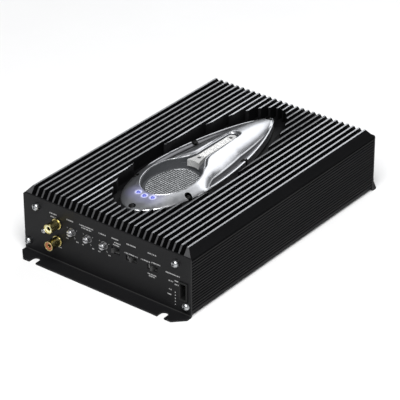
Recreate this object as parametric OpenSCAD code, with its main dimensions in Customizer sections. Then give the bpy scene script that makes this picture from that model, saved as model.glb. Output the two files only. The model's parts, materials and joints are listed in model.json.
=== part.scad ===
// Car audio power amplifier: a finned aluminium extrusion closed by two flanged end plates,
// with a domed badge over the fins, a control panel at the front (-Y) and terminals at the rear (+Y).
// Millimetres. The origin is at the middle of the surface that the flanges stand on, +Z up.

/* [Housing] */
// Width across the side ribs
body_w = 174; // [172:1:178]
// Length between the inner faces of the end plates
body_l = 252.8; // [248:0.4:260]
// Height of the fin tops above the mounting surface
body_h = 60.4; // [60:0.2:62]
// Height at which the sloping shoulders meet the ribbed sides
side_h = 53.1; // [52.5:0.1:53.5]
// Number of fins, counting the two shoulders
fin_count = 28; // [24:2:28]
// Distance from one fin to the next
fin_pitch = 5.92; // [5.8:0.01:5.95]
// Thickness of a fin
fin_t = 1.6; // [1.4:0.1:1.8]
// Depth of the channels between the fins
fin_depth = 12; // [11:0.5:12.5]
// Thickness of the roof under the fins
roof_t = 5.5; // [5.5:0.5:6]
// Thickness of the side walls, ribs included
wall_t = 3; // [2.8:0.1:3.2]
// Number of ribs on each side
rib_count = 18; // [12:1:18]
// Distance from one rib to the next
rib_pitch = 2.65; // [2.5:0.05:2.65]
// Depth of the grooves between the ribs
rib_depth = 1; // [0.6:0.1:1.2]
// Length over which the fin ends slope down to the end plates
slope_run = 4.2; // [3:0.1:6]

/* [End plates] */
// Thickness of the sheet
plate_t = 1.6; // [1.5:0.1:2]
// Height of an end plate
plate_h = 54.4; // [53.4:0.2:54.4]
// Reach of the mounting flange beyond the plate
flange_reach = 14; // [13:0.5:16]
// Size of the clipped flange corners
flange_corner = 9.5; // [5:0.5:10]
// Half the distance between the two mounting slots of a flange
slot_x = 67.4; // [66:0.2:68]
// Width of a mounting slot
slot_w = 7; // [5:0.5:8]
// Depth of a mounting slot from the flange's edge
slot_depth = 8; // [6:0.5:9]

/* [Badge] */
// Half the greatest width of the badge
badge_hw = 33.3; // [32:0.1:34]
// Height of the badge's rim
badge_rim_z = 55.7; // [55.5:0.1:56]
// Height of the badge's crown
badge_top_z = 64.5; // [64:0.1:65]
// Half the greatest width of the milled pocket around the badge
pocket_hw = 40; // [38:0.5:42]
// Half the width of the grille opening
grille_hw = 22.9; // [22:0.1:23]
// Half the length of the grille opening
grille_hl = 31.5; // [31:0.1:32]

/* [Controls] */
// Height of the rotary controls' axes
pot_z = 34.9; // [34:0.1:35]
// Radius of a rotary control's shaft
shaft_r = 3; // [2.5:0.1:3]
// Radius of a phono jack's metal sleeve
sleeve_r = 4.15; // [4:0.05:4.2]
// Height of the upper phono jack's axis
jack_top_z = 37.5; // [37:0.1:37.5]
// Distance between the two phono jacks' axes
jack_pitch = 16.1; // [16:0.1:17]

/* [Terminals] */
// Radius of the cable holes for the battery cables
cable_r = 3.1; // [2.5:0.1:3.2]
// Radius of the wire holes for the loudspeakers
wire_r = 2; // [1.5:0.1:2.1]

/* [Hidden] */
$fn = 48;
gap = 0.1;                               // clearance between pieces that slip together
run_gap = 0.05;                          // clearance around a turning shaft

end_y = body_l / 2;                      // inner face of an end plate
face_y = end_y + plate_t;                // outer face of an end plate
base_z = 2.1;                            // underside of the side walls and of the bottom plate
floor_t = 1.5;                           // bottom plate's thickness
inner_x = body_w / 2 - wall_t;           // inner face of a side wall
roof_z = body_h - fin_depth - roof_t;    // underside of the roof
channel_z = body_h - fin_depth;          // bottom of the fin channels and of the pocket
ledge_x = inner_x - 4.5;                 // inner edge of the screw ledge along each wall
ledge_z = 12.8;                          // top of the screw ledge
shoulder_x = (fin_count - 1) / 2 * fin_pitch + fin_t / 2;
rib_z = 4.8;                             // foot of the lowest rib

plate_screws = [for (s = [-1, 1]) each [[s * 72.5, channel_z - 2.6], [s * 82.8, 10]]];
plate_screw_r = 1.5;
plate_screw_l = 12;
floor_screw_x = inner_x - 2.3;
floor_screw_y = [-96, -32, 32, 96];

badge_y = -25;                           // station of the badge's greatest width
badge_front = 73;                        // from there to the front end
badge_back = 123.5;                      // from there to the pointed end
pocket_y = -30;
pocket_front = 74.6;
pocket_back = 138.6;
crown_y = 15;                            // station of the badge's crown
lip_h = 1.1;                             // raised lip outside the flute
grille_y = -42;                          // centre of the grille opening
slot_hw = 5.4;                           // half width of the badge's slot
slot_end = 46.3;                         // far end of the badge's slot
tray_wall = 1.2;
tray_tilt = atan(0.07);                  // lean of the tray's rim
tray_rim_z = 60.4;                       // tray's rim over the middle of the grille
tray_seat_z = 52.2;                      // seat of the grille
grille_t = 0.8;
grille_disc = [19.8, 27.4];              // half axes of the woven disc
spine_z = 57.7;                          // seat of the spine bar
spine_t = 4.4;                           // thickness of the spine bar
spine_hw = 3.6;                          // half width of the spine bar
spine_flare = 5.8;                       // half width of its broad foot
spine_skirt = 1.6;                       // drop of its foot's edge into the cup
tray_top = 61.6;                         // highest edge of the tray
badge_screw_at = [[0, -93.5], [0, 92.5], [27.6, -55.2], [-27.6, -55.2], [25.9, 21.9], [-25.9, 21.9]];
badge_seat_z = 55.8;                     // seat of the badge's screw heads
led_at = [[-7.4, -76.2], [0, -77.6], [7.4, -76.2]];
led_r = 2;
led_l = 8;                               // length of an indicator below its dome

jack_x = -50.5;
jack_reach = 12;                         // how far the phono sleeves stand out of the panel
jack_hole_r = 1.65;                      // hole for a phono plug's centre pin
jack_z = [jack_top_z, jack_top_z - jack_pitch];
jack_screw_at = [-65.5, 25.1];
pot_x = [-35, -18, -1];
board_y = -end_y + 10;                   // front face of the control board
shaft_reach = 4.2;                       // how far the shafts stand out of the panel
switch_at = [[10.8, 34.1], [27, 32.3], [48.5, 32.1]];
switch_slot = [[8.2, 6], [10.9, 4.6], [10.9, 4.6]];
lever_w = 2.4;
lever_h = 3.6;
lever_rest = [-1.9, 0, 0];               // where each lever stands, from the middle of its slot
lever_cavity_w = [7, 8.2, 8.2];
socket_at = [79.8, 22.2];
socket_w = 8.4;                          // bezel of the multi-pin input socket
socket_h = 17;
socket_pin_z = [-4.8, -1.6, 1.6, 4.8];
pot_can_w = 9.2;                         // width of a rotary control's can

pcb_z = 9.4;                             // underside of the main board
pcb_t = 1.6;
pcb_hx = ledge_x - 1;
pcb_y0 = board_y + pcb_t + 3;
pcb_y1 = end_y - 10;
deck_z = pcb_z + pcb_t;                  // top of the main board
control_foot_z = deck_z + 3.4;           // foot of the control board
standoff_at = [for (x = [-70, 70]) for (y = [-98, 0, 98]) [x, y]];
choke_at = [0, 30];
core_r = 10;                             // the ring core's inner radius, width and height
core_w = 9;
core_h = 15;
wire_t = 1.4;
core_z = deck_z + wire_t;
transistor_y = [for (i = [0:5]) -80 + 32 * i];
clamp_screw_y = [for (i = [0:2]) -64 + 64 * i];
transistor_t = 4.5;
transistor_z = deck_z + 6.4;             // foot of a transistor's body
pad_t = 0.3;
clamp_t = 1.5;
clamp_screw_z = deck_z + 15.9;

power_x = [-53, -39, -25];
speaker_x = [28, 38, 48, 58];
terminal_z = 24.5;
terminal_reach = 11;                     // how far the terminal housings stand out of the rear plate
fuse_x = [-3, 11];
fuse_z = 25.5;
fuse_blade_z = 6.9;                      // blades above and below the fuse's middle
fuse_seat_y = face_y + 1.2;              // where a fuse's shoulder rests

// ---------- small shared shapes ----------

// Moves its children to the front panel's frame: x across, y up, z out of the panel's face.
module on_front(at = [0, 0], out = 0) {
    translate([at[0], -face_y - out, at[1]]) rotate([90, 0, 0]) children();
}

// The same for the rear panel, with z out of its face.
module on_rear(at = [0, 0], out = 0) {
    translate([at[0], face_y + out, at[1]]) rotate([-90, 0, 0]) children();
}

// A box given by its lowest and highest corners.
module span(a, b) {
    translate(a) cube([for (i = [0:2]) b[i] - a[i]]);
}

// An outline with straight sides and round ends, height over all h, standing along y.
module stadium(w, h) {
    square([w, h - w], center = true);
    for (s = [-1, 1]) translate([0, s * (h - w) / 2]) circle(d = w);
}

// A pan-head machine screw along z: shank below 0, head above, with a cross recess.
module pan_screw(r, l, head_r, head_h) {
    difference() {
        union() {
            translate([0, 0, -l]) cylinder(r = r, h = l);
            cylinder(r = head_r, h = head_h * 0.55);
            translate([0, 0, head_h * 0.55])
                cylinder(r1 = head_r, r2 = head_r * 0.62, h = head_h * 0.45);
        }
        for (a = [0, 90]) rotate([0, 0, a])
            translate([-head_r * 0.55, -head_r * 0.11, head_h * 0.45])
                cube([head_r * 1.1, head_r * 0.22, head_h]);
    }
}

// A flat countersunk screw: head top at 0, shank below.
module flat_screw(r, l, head_r) {
    difference() {
        union() {
            translate([0, 0, -l]) cylinder(r = r, h = l);
            translate([0, 0, r - head_r]) cylinder(r1 = r, r2 = head_r, h = head_r - r);
        }
        for (a = [0, 90]) rotate([0, 0, a])
            translate([-head_r * 0.55, -head_r * 0.11, -0.6]) cube([head_r * 1.1, head_r * 0.22, 1]);
    }
}

// ---------- outlines ----------

// Half the badge's width at station y: an ellipse ahead of its widest place, a point behind it.
function badge_half(y) = y < badge_y
    ? badge_hw * sqrt(max(0, 1 - pow((badge_y - y) / badge_front, 2)))
    : badge_hw * pow(max(0, 1 - pow((y - badge_y) / badge_back, 1.8)), 0.75);

// Half the width of the milled pocket: two half ellipses.
function pocket_half(y) =
    let (l = y < pocket_y ? pocket_front : pocket_back)
    pocket_hw * sqrt(max(0, 1 - pow((y - pocket_y) / l, 2)));

neck_y = -19;                            // where the grille opening starts to draw in to the slot
function grille_half(y) = grille_hw * sqrt(max(0, 1 - pow((y - grille_y) / grille_hl, 2)));
function slot_half(y) = y < slot_end - slot_hw
    ? slot_hw
    : sqrt(max(0, slot_hw * slot_hw - pow(y - slot_end + slot_hw, 2)));
function ease(t) = let (c = min(1, max(0, t))) c * c * (3 - 2 * c);

// Half the width of the badge's opening: the oval grille, a neck, and the slot of the spine bar.
function opening_half(y) =
    let (n = ease((y - neck_y) / 24))
    y < neck_y
        ? grille_half(y)
        : (1 - n) * max(grille_half(y), slot_half(y) + 9 * (1 - n)) + n * slot_half(y);

badge_y0 = badge_y - badge_front;
badge_y1 = badge_y + badge_back;
opening_y0 = grille_y - grille_hl;

// A closed outline from a half width between two stations, spaced so that its round ends are smooth.
function station(a, y0, y1) = (y0 + y1) / 2 + (y1 - y0) / 2 * sin(a);
function badge_point(a) = let (y = station(a, badge_y0, badge_y1)) [sign(cos(a)) * badge_half(y), y];
function opening_point(a) = let (y = station(a, opening_y0, slot_end)) [sign(cos(a)) * opening_half(y), y];
function pocket_point(a) =
    let (y = station(a, pocket_y - pocket_front, pocket_y + pocket_back)) [sign(cos(a)) * pocket_half(y), y];
ring_n = 72;
ring = [for (i = [0:ring_n - 1]) (i + 0.5) * 360 / ring_n];

// ---------- housing ----------

function rib_points(side) = [for (k = [0:rib_count - 1]) each
    let (z = rib_z + k * rib_pitch, x = body_w / 2)
    [[side * (x - rib_depth), z], [side * x, z + 0.45],
     [side * x, z + 1.65], [side * (x - rib_depth), z + 2.1]]];

function reversed(list) = [for (i = [len(list) - 1:-1:0]) list[i]];

function fin_points(i) =
    let (x = (i - (fin_count - 1) / 2) * fin_pitch, h = fin_t / 2)
    [[x + h, channel_z], [x + h, body_h], [x - h, body_h], [x - h, channel_z]];

function wall_points(side) = [
    [side * inner_x, base_z], [side * inner_x, base_z + floor_t],
    [side * ledge_x, base_z + floor_t], [side * ledge_x, ledge_z],
    [side * inner_x, ledge_z + 1.5], [side * inner_x, roof_z - 2], [side * (inner_x - 2), roof_z]
];

// Cross-section of the extrusion, counter-clockwise from the foot of the right wall.
housing_section = concat(
    [[body_w / 2 - rib_depth, base_z]], rib_points(1), [[body_w / 2 - rib_depth, side_h - 0.35]],
    [[body_w / 2, side_h], [shoulder_x, body_h]],
    [[shoulder_x - fin_t, body_h], [shoulder_x - fin_t, channel_z]],
    [for (i = [fin_count - 2:-1:1]) each fin_points(i)],
    [[fin_t - shoulder_x, channel_z], [fin_t - shoulder_x, body_h]],
    [[-shoulder_x, body_h], [-body_w / 2, side_h], [rib_depth - body_w / 2, side_h - 0.35]],
    reversed(rib_points(-1)), [[rib_depth - body_w / 2, base_z]],
    wall_points(-1), reversed(wall_points(1))
);

// The wedge that is milled off the fins at one end.
module end_slope() {
    translate([-body_w / 2 - 1, 0, 0]) rotate([90, 0, 90]) linear_extrude(body_w + 2)
        polygon([[-end_y - 1, plate_h], [-end_y, plate_h], [slope_run - end_y, body_h],
                 [slope_run - end_y, body_h + 1], [-end_y - 1, body_h + 1]]);
}

module heatsink_housing() {
    color("#1c1d1f") difference() {
        translate([0, end_y, 0]) rotate([90, 0, 0]) linear_extrude(body_l) polygon(housing_section);
        translate([0, 0, channel_z]) linear_extrude(fin_depth + 1) polygon([for (a = ring) pocket_point(a)]);
        end_slope();
        mirror([0, 1, 0]) end_slope();
        for (p = plate_screws) for (s = [-1, 1])
            translate([p[0], s * (end_y - plate_screw_l / 2), p[1]]) rotate([90, 0, 0])
                cylinder(r = plate_screw_r + gap, h = plate_screw_l + 1, center = true);
        for (s = [-1, 1]) for (y = floor_screw_y)
            translate([s * floor_screw_x, y, 0]) cylinder(r = 1.2 + gap, h = ledge_z - 1.5);
        for (p = badge_screw_at)
            translate([p[0], p[1], channel_z - 4.5]) cylinder(r = 1.2 + gap, h = 5);
        for (s = [-1, 1]) for (y = clamp_screw_y)
            translate([s * (inner_x - 1), y, clamp_screw_z]) rotate([0, s * 90, 0])
                cylinder(r = 1.2 + gap, h = 2.5);
        translate([0, led_at[0][1] - 5, roof_z - 1]) cylinder(r = 2.5, h = roof_t + 2);
    }
}

module bottom_plate() {
    color("#2a2b2d") difference() {
        span([gap - inner_x, gap - end_y, base_z], [inner_x - gap, end_y - gap, base_z + floor_t]);
        for (s = [-1, 1]) for (y = floor_screw_y) translate([s * floor_screw_x, y, base_z - 0.01]) {
            cylinder(r = 1.2 + gap, h = floor_t + 1);
            cylinder(r1 = 2.3 + gap, r2 = 1.2 + gap, h = 1.1);
        }
        for (p = standoff_at) translate([p[0], p[1], base_z - 0.5]) cylinder(r = 2 + run_gap, h = floor_t + 1);
        for (s = [-1, 1]) for (i = [-3:3]) translate([s * 30, i * 9, base_z - 0.5])
            linear_extrude(floor_t + 1) rotate([0, 0, 90]) stadium(3, 34);
    }
}

module bottom_plate_screws() {
    color("#3a3b3d") for (s = [-1, 1]) for (y = floor_screw_y)
        translate([s * floor_screw_x, y, base_z]) mirror([0, 0, 1]) flat_screw(1.2, 7, 2.3);
}

// ---------- end plates ----------

// L-shaped sheet with its bend at the foot; the flange points to -Y.
module flanged_sheet() {
    bend = 2;
    translate([-body_w / 2, 0, 0]) rotate([90, 0, 90]) linear_extrude(body_w) polygon(concat(
        [[-end_y, plate_h]],
        [for (a = [0:-15:-90]) [-end_y - bend + bend * cos(a), bend + bend * sin(a)]],
        [[-face_y - flange_reach, 0], [-face_y - flange_reach, plate_t]],
        [for (a = [-90:15:0]) [-end_y - bend + (bend - plate_t) * cos(a), bend + (bend - plate_t) * sin(a)]],
        [[-face_y, plate_h]]
    ));
}

module end_plate() {
    corner_x = body_w / 2 + (shoulder_x - body_w / 2) * (plate_h - side_h) / (body_h - side_h);
    difference() {
        flanged_sheet();
        for (s = [-1, 1]) {
            // shoulder corner, following the housing's slope
            translate([0, -face_y - 1, 0]) rotate([90, 0, 0]) mirror([0, 0, 1]) linear_extrude(plate_t + 2)
                polygon([[s * body_w / 2, side_h], [s * corner_x, plate_h], [s * corner_x, plate_h + 1],
                         [s * (body_w / 2 + 1), plate_h + 1], [s * (body_w / 2 + 1), side_h]]);
            // clipped flange corner and open mounting slot
            translate([0, 0, -1]) linear_extrude(plate_t + 2) {
                polygon([[s * (body_w / 2 + 1), -face_y - flange_reach - 1],
                         [s * (body_w / 2 + 1), -face_y - flange_reach + flange_corner + 1],
                         [s * (body_w / 2 - flange_corner - 1), -face_y - flange_reach - 1]]);
                translate([s * slot_x, -face_y - flange_reach]) {
                    translate([0, slot_depth - slot_w / 2]) circle(d = slot_w);
                    translate([-slot_w / 2, -1]) square([slot_w, slot_depth - slot_w / 2 + 1]);
                }
            }
        }
        for (p = plate_screws) on_front(p, -plate_t - 1) cylinder(r = plate_screw_r + 0.3, h = plate_t + 2);
    }
}

module front_plate() {
    color("#232426") difference() {
        end_plate();
        for (z = jack_z) on_front([jack_x, z], -plate_t - 1) cylinder(r = 5, h = plate_t + 2);
        on_front(jack_screw_at, -plate_t - 1) cylinder(r = 1.6, h = plate_t + 2);
        for (x = pot_x) on_front([x, pot_z], -plate_t - 1) cylinder(r = 3.7, h = plate_t + 2);
        for (i = [0:2]) on_front(switch_at[i], -plate_t - 1)
            linear_extrude(plate_t + 2) square(switch_slot[i], center = true);
        on_front(socket_at, -plate_t - 1) linear_extrude(plate_t + 2)
            square([socket_w - 1.2, socket_h - 1.2], center = true);
    }
}

module rear_plate() {
    color("#232426") difference() {
        mirror([0, 1, 0]) end_plate();
        on_rear([0, 0], -plate_t - 1) mirror([0, 1, 0]) linear_extrude(plate_t + 2) {
            translate([power_x[1], terminal_z]) square([46, 20], center = true);
            translate([(speaker_x[0] + speaker_x[3]) / 2, terminal_z]) square([38, 18], center = true);
            translate([(fuse_x[0] + fuse_x[1]) / 2, fuse_z]) square([24, 22], center = true);
        }
    }
}

module plate_screw() {
    pan_screw(plate_screw_r, plate_screw_l + plate_t, 3.3, 4);
}

module front_plate_screws() {
    color("silver") for (p = plate_screws) on_front(p) plate_screw();
}

module rear_plate_screws() {
    color("silver") for (p = plate_screws) on_rear(p) plate_screw();
}

// ---------- badge ----------

// Height of the crown line at station y.
function crown(y) = y < crown_y
    ? badge_top_z - (badge_top_z - badge_rim_z) * pow((crown_y - y) / (crown_y - badge_y0), 1.85)
    : badge_top_z - (badge_top_z - badge_rim_z) * pow((y - crown_y) / (badge_y1 - crown_y), 2.8);

// Width of the flute between the dome and the badge's edge. It starts beside the grille.
function flute_w(y) = 9.3 * ease((y + 42) / 26) * min(1, max(0, (badge_y1 - y) / 72));

// Height of the badge's skin: the dome, then the floor of the flute and a lip along the edge.
function skin(p) =
    let (y = p[1], half = max(0.01, badge_half(y)), foot = half - flute_w(y),
         u = min(1, abs(p[0]) / max(0.01, foot)), power = 5 - 2.2 * ease((y + 24) / 26),
         lip = min(1, flute_w(y) / 3) * lip_h * max(0, 1 - abs(half - abs(p[0]) - 1.2) / 1.2))
    badge_rim_z + (crown(y) - badge_rim_z) * (1 - pow(u, power)) + lip;

// The badge's body: a skin between its opening and its outline, over a flat foot.
module badge_body() {
    steps = [0, 0.15, 0.3, 0.45, 0.57, 0.68, 0.78, 0.87, 0.94, 1];
    m = len(steps);
    foot_z = channel_z + gap;
    top = [for (s = steps) for (a = ring)
        let (p = (1 - s) * opening_point(a) + s * badge_point(a)) [p[0], p[1], skin(p)]];
    foot = [for (outer = [1, 0]) for (a = ring)
        let (p = outer ? badge_point(a) : opening_point(a)) [p[0], p[1], foot_z]];
    rows = m + 2;                        // skin rows, then the foot's outer and inner edges
    faces = [for (r = [0:rows - 1]) for (i = [0:ring_n - 1])
        let (j = (i + 1) % ring_n, q = (r + 1) % rows)
        each [[r * ring_n + i, q * ring_n + j, r * ring_n + j],
              [r * ring_n + i, q * ring_n + i, q * ring_n + j]]];
    polyhedron(points = concat(top, foot), faces = faces, convexity = 6);
}

module badge_cover() {
    color("#c9cace") difference() {
        badge_body();
        for (p = badge_screw_at) translate([p[0], p[1], 0]) {
            translate([0, 0, badge_seat_z]) cylinder(r = 3, h = 12);
            translate([0, 0, channel_z - 1]) cylinder(r = 1.2 + gap, h = 12);
        }
        for (p = led_at) translate([p[0], p[1], channel_z - 1]) cylinder(r = led_r + gap, h = 14);
        // recess for the indicator board under the front end
        span([-13, led_at[1][1] - 5, channel_z - 1], [13, led_at[0][1] + 3.6, channel_z + 4]);
    }
}

module badge_screws() {
    color("#8d8e92") for (p = badge_screw_at)
        translate([p[0], p[1], badge_seat_z]) pan_screw(1.2, badge_seat_z - channel_z + 4, 2, 1.3);
}

// The dark tray under the badge: an oval cup for the grille and a channel for the spine bar.
module tray_outline(inset) {
    offset(delta = -inset) polygon([for (a = ring) opening_point(a)]);
}

module tray_top_cut() {
    translate([0, grille_y, tray_rim_z]) rotate([tray_tilt, 0, 0])
        translate([-60, -60, 0]) cube([120, 200, 30]);
    translate([-60, -60, tray_top]) cube([120, 120, 30]);
}

function grille_ring(inset) =
    [for (a = ring) [(grille_hw - inset) * cos(a), grille_y + (grille_hl - inset) * sin(a)]];

function grille_disc_points(inset) =
    [for (a = ring) [(grille_disc[0] - inset) * cos(a), grille_y + 1 + (grille_disc[1] - inset) * sin(a)]];

module inset_tray() {
    color("#2e3033") difference() {
        translate([0, 0, channel_z]) linear_extrude(20) tray_outline(gap);
        tray_top_cut();
        translate([0, 0, tray_seat_z + grille_t]) linear_extrude(20) polygon(grille_ring(tray_wall));
        translate([0, 0, tray_seat_z]) linear_extrude(2) polygon(grille_disc_points(0));
        translate([0, 0, spine_z]) linear_extrude(20) intersection() {
            tray_outline(tray_wall);
            translate([-20, -16]) square([40, 80]);
        }
        for (y = [-5.4, 38.1]) translate([0, y, spine_z - 3.5]) cylinder(r = 1.1, h = 5);
    }
}

module grille_mesh() {
    color("#8f9194") translate([0, 0, tray_seat_z]) linear_extrude(grille_t) polygon(grille_disc_points(gap));
}

// The spine bar, flared at its foot and turned down into the cup as an apron.
module spine_bar() {
    foot = [[spine_hw, -1], [spine_hw + 0.3, -5], [spine_hw + 1, -9], [spine_flare, -12.8]];
    color("#d6d7da") difference() {
        union() {
            translate([0, 0, spine_z]) linear_extrude(spine_t) {
                translate([-spine_hw, -10]) square([2 * spine_hw, 50]);
                translate([0, 40]) circle(r = spine_hw);
                polygon([for (s = [-1, 1]) each [for (q = s < 0 ? foot : reversed(foot)) [s * q[0], q[1]]]]);
            }
            intersection() {
                translate([0, 0, spine_z - spine_skirt]) linear_extrude(spine_skirt + spine_t) difference() {
                    polygon(grille_ring(tray_wall + gap));
                    polygon(grille_ring(tray_wall + 1.2));
                }
                span([-spine_flare, -20, 40], [spine_flare, 0, 70]);
            }
        }
        for (y = [-5.4, 38.1]) translate([0, y, spine_z - 1]) {
            cylinder(r = 0.9 + gap, h = 10);
            translate([0, 0, spine_t]) cylinder(r = 1.6 + gap, h = 4);
        }
    }
}

module spine_bar_screws() {
    color("#222222") for (y = [-5.4, 38.1])
        translate([0, y, spine_z + spine_t - 1]) pan_screw(0.9, 4, 1.6, 0.8);
}

module led_board() {
    color("#1f5a34") span([-12, led_at[1][1] - 4, channel_z], [12, led_at[0][1] + 2.4, channel_z + 1.2]);
}

module indicator_leds() {
    color("#4a55d8") for (p = led_at) translate([p[0], p[1], channel_z + 1.2]) {
        cylinder(r = led_r, h = led_l);
        translate([0, 0, led_l]) sphere(r = led_r);
    }
}

// ---------- phono jacks ----------

module jack_block() {
    color("#18181a") difference() {
        union() {
            span([jack_x - 7.5, -end_y, jack_z[1] - 7], [jack_x + 7.5, board_y, jack_z[0] + 5.2]);
            span([jack_screw_at[0] - 4, -end_y, jack_screw_at[1] - 4],
                 [jack_x - 7, 3 - end_y, jack_screw_at[1] + 4]);
            for (z = jack_z) on_front([jack_x, z], -plate_t - 1) cylinder(r = 5 - gap, h = plate_t + 1.6);
        }
        for (z = jack_z) on_front([jack_x, z], -plate_t - 6)
            cylinder(r = sleeve_r + run_gap, h = plate_t + 8);
        on_front(jack_screw_at, -plate_t - 4) cylinder(r = 1.2 + gap, h = 5);
    }
}

module jack_sleeves() {
    color("#c9a24a") for (z = jack_z) difference() {
        union() {
            on_front([jack_x, z], -plate_t - 5.9) cylinder(r = sleeve_r, h = plate_t + 5.9 + jack_reach);
            on_front([jack_x, z], 0.7) cylinder(r = 4.8, h = 0.9);
        }
        on_front([jack_x, z], -plate_t - 6) cylinder(r = sleeve_r - 0.55, h = plate_t + 20);
    }
}

module jack_insulator(z) {
    difference() {
        on_front([jack_x, z], -plate_t - 5.9)
            cylinder(r = sleeve_r - 0.55 - run_gap, h = plate_t + 5.3 + jack_reach);
        on_front([jack_x, z], -plate_t - 4) cylinder(r = 2.2, h = 30);
    }
}

module jack_insulator_white() { color("#e9e6d8") jack_insulator(jack_z[0]); }
module jack_insulator_red() { color("#b3321f") jack_insulator(jack_z[1]); }

module jack_contacts() {
    color("#c9a24a") for (z = jack_z) difference() {
        on_front([jack_x, z], -plate_t - 4) cylinder(r = 2.15, h = plate_t + 4 + jack_reach - 1.2);
        on_front([jack_x, z], 0.3) cylinder(r = jack_hole_r, h = 20);
    }
}

module jack_block_screw() {
    color("silver") on_front(jack_screw_at) pan_screw(1.2, 5, 2.3, 1.9);
}

// ---------- control board, rotary controls and switches ----------

module control_board() {
    color("#1f5a34") difference() {
        span([-62, board_y, control_foot_z], [83, board_y + pcb_t, roof_z - 1.5]);
        for (z = socket_pin_z) translate([socket_at[0], board_y - 1, socket_at[1] + z])
            rotate([-90, 0, 0]) cylinder(r = 0.8, h = 4);
    }
}

module control_bodies() {
    color("#7d8085") for (x = pot_x) difference() {
        union() {
            span([x - pot_can_w / 2, 3 - end_y, pot_z - 7], [x + pot_can_w / 2, board_y, pot_z + 6]);
            on_front([x, pot_z], -plate_t - 3) cylinder(r = 3.6, h = 4.5);
        }
        on_front([x, pot_z], -plate_t - 8.5) cylinder(r = shaft_r + run_gap, h = 20);
    }
}

// A slotted, splined control shaft with a rounded tip.
module control_shaft(x) {
    depth = plate_t + 8;
    tip = depth + shaft_reach;
    color("#b9babd") on_front([x, pot_z], -depth) difference() {
        union() {
            cylinder(r = shaft_r, h = tip - 0.7);
            translate([0, 0, tip - 0.7]) cylinder(r1 = shaft_r, r2 = shaft_r - 0.7, h = 0.7);
        }
        translate([-5, -0.55, tip - 1.4]) cube([10, 1.1, 3]);
        for (a = [15:30:345]) rotate([0, 0, a]) translate([shaft_r, 0, depth + 0.4])
            cylinder(r = 0.28, h = 6);
    }
}

module gain_shaft() { control_shaft(pot_x[0]); }
module boost_shaft() { control_shaft(pot_x[1]); }
module frequency_shaft() { control_shaft(pot_x[2]); }

module switch_bodies() {
    color("#6d7074") for (i = [0:2]) difference() {
        x = switch_at[i][0];
        z = switch_at[i][1];
        half = [lever_cavity_w[i] / 2, lever_h / 2 + 0.3];
        span([x - 7, -end_y, z - 3.4], [x + 7, board_y, z + 3.4]);
        span([x - half[0], -end_y - 1, z - half[1]], [x + half[0], 4.2 - end_y, z + half[1]]);
    }
}

// A ridged thumb lever standing out of its slot.
module switch_lever(i) {
    x = switch_at[i][0] + lever_rest[i];
    low = switch_at[i][1] - lever_h / 2;
    high = low + lever_h;
    color("#0f0f10") {
        span([x - lever_w / 2, -face_y - 1.6, low], [x + lever_w / 2, 3.9 - end_y, high]);
        for (k = [-0.8, 0, 0.8])
            span([x + k - 0.18, -face_y - 1.9, low], [x + k + 0.18, -face_y - 1.5, high]);
    }
}

module range_switch_lever() { switch_lever(0); }
module filter_switch_lever() { switch_lever(1); }
module source_switch_lever() { switch_lever(2); }

module input_socket() {
    color("#0c0c0d") on_front(socket_at) difference() {
        union() {
            linear_extrude(1) square([socket_w, socket_h], center = true);
            translate([0, 0, -plate_t - 10]) linear_extrude(plate_t + 10)
                square([socket_w - 1.4, socket_h - 1.4], center = true);
        }
        translate([0, 0, -plate_t - 8]) linear_extrude(20)
            square([socket_w - 3.2, socket_h - 3.2], center = true);
        for (z = socket_pin_z) translate([0, z, -20]) linear_extrude(40) square(1.2, center = true);
    }
}

module input_socket_pins() {
    color("#c9a24a") for (z = socket_pin_z)
        on_front([socket_at[0], socket_at[1] + z], -plate_t - 11)
            translate([-0.5, -0.5, 0]) cube([1, 1, 7.2]);
}

// ---------- main board ----------

module main_board() {
    color("#1f5a34") difference() {
        span([-pcb_hx, pcb_y0, pcb_z], [pcb_hx, pcb_y1, deck_z]);
        for (p = standoff_at) translate([p[0], p[1], 0]) cylinder(r = 1.3, h = 20);
    }
}

// Hexagonal standoffs swaged into the bottom plate.
module board_standoffs() {
    color("#b8b9bc") for (p = standoff_at) translate([p[0], p[1], base_z]) difference() {
        union() {
            cylinder(r = 2, h = floor_t);
            translate([0, 0, floor_t]) cylinder(r = 3.2, h = pcb_z - base_z - floor_t, $fn = 6);
        }
        translate([0, 0, 1.2]) cylinder(r = 1.3, h = 10);
    }
}

module board_screws() {
    color("silver") for (p = standoff_at) translate([p[0], p[1], deck_z]) pan_screw(1.2, 5, 2.4, 1.8);
}

// Pin strip that joins the control board to the main board.
module board_link() {
    color("#111112") union() {
        span([-20, board_y + pcb_t, control_foot_z], [20, pcb_y0 + 4, control_foot_z + 2.5]);
        span([-20, pcb_y0 + 1, deck_z], [20, pcb_y0 + 4, control_foot_z]);
    }
}

module transformer_core() {
    color("#8c8f55") translate([choke_at[0], choke_at[1], core_z])
        rotate_extrude() translate([core_r, 0]) square([core_w, core_h]);
}

// Enamelled wire wound through the ring core: a full layer with a ridge for each turn.
module transformer_winding() {
    layer = wire_t * 0.6;
    color("#9a4f22") translate([choke_at[0], choke_at[1], core_z]) {
        rotate_extrude() core_frame(gap, layer);
        for (a = [0:12:348]) rotate([0, 0, a]) rotate([90, 0, 0])
            linear_extrude(wire_t, center = true) core_frame(layer / 2, wire_t);
    }
}

// Section of the winding around the core's section.
module core_frame(inner, outer) {
    difference() {
        translate([core_r - outer, -outer]) square([core_w + 2 * outer, core_h + 2 * outer]);
        translate([core_r - inner, -inner]) square([core_w + 2 * inner, core_h + 2 * inner]);
    }
}

module capacitor(r, h) {
    difference() {
        cylinder(r = r, h = h);
        translate([0, 0, 3]) rotate_extrude() translate([r + 0.2, 0]) circle(r = 0.7, $fn = 24);
        for (a = [0, 90]) rotate([0, 0, a]) translate([-r * 0.6, -0.2, h - 0.4]) cube([r * 1.2, 0.4, 1]);
    }
}

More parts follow.
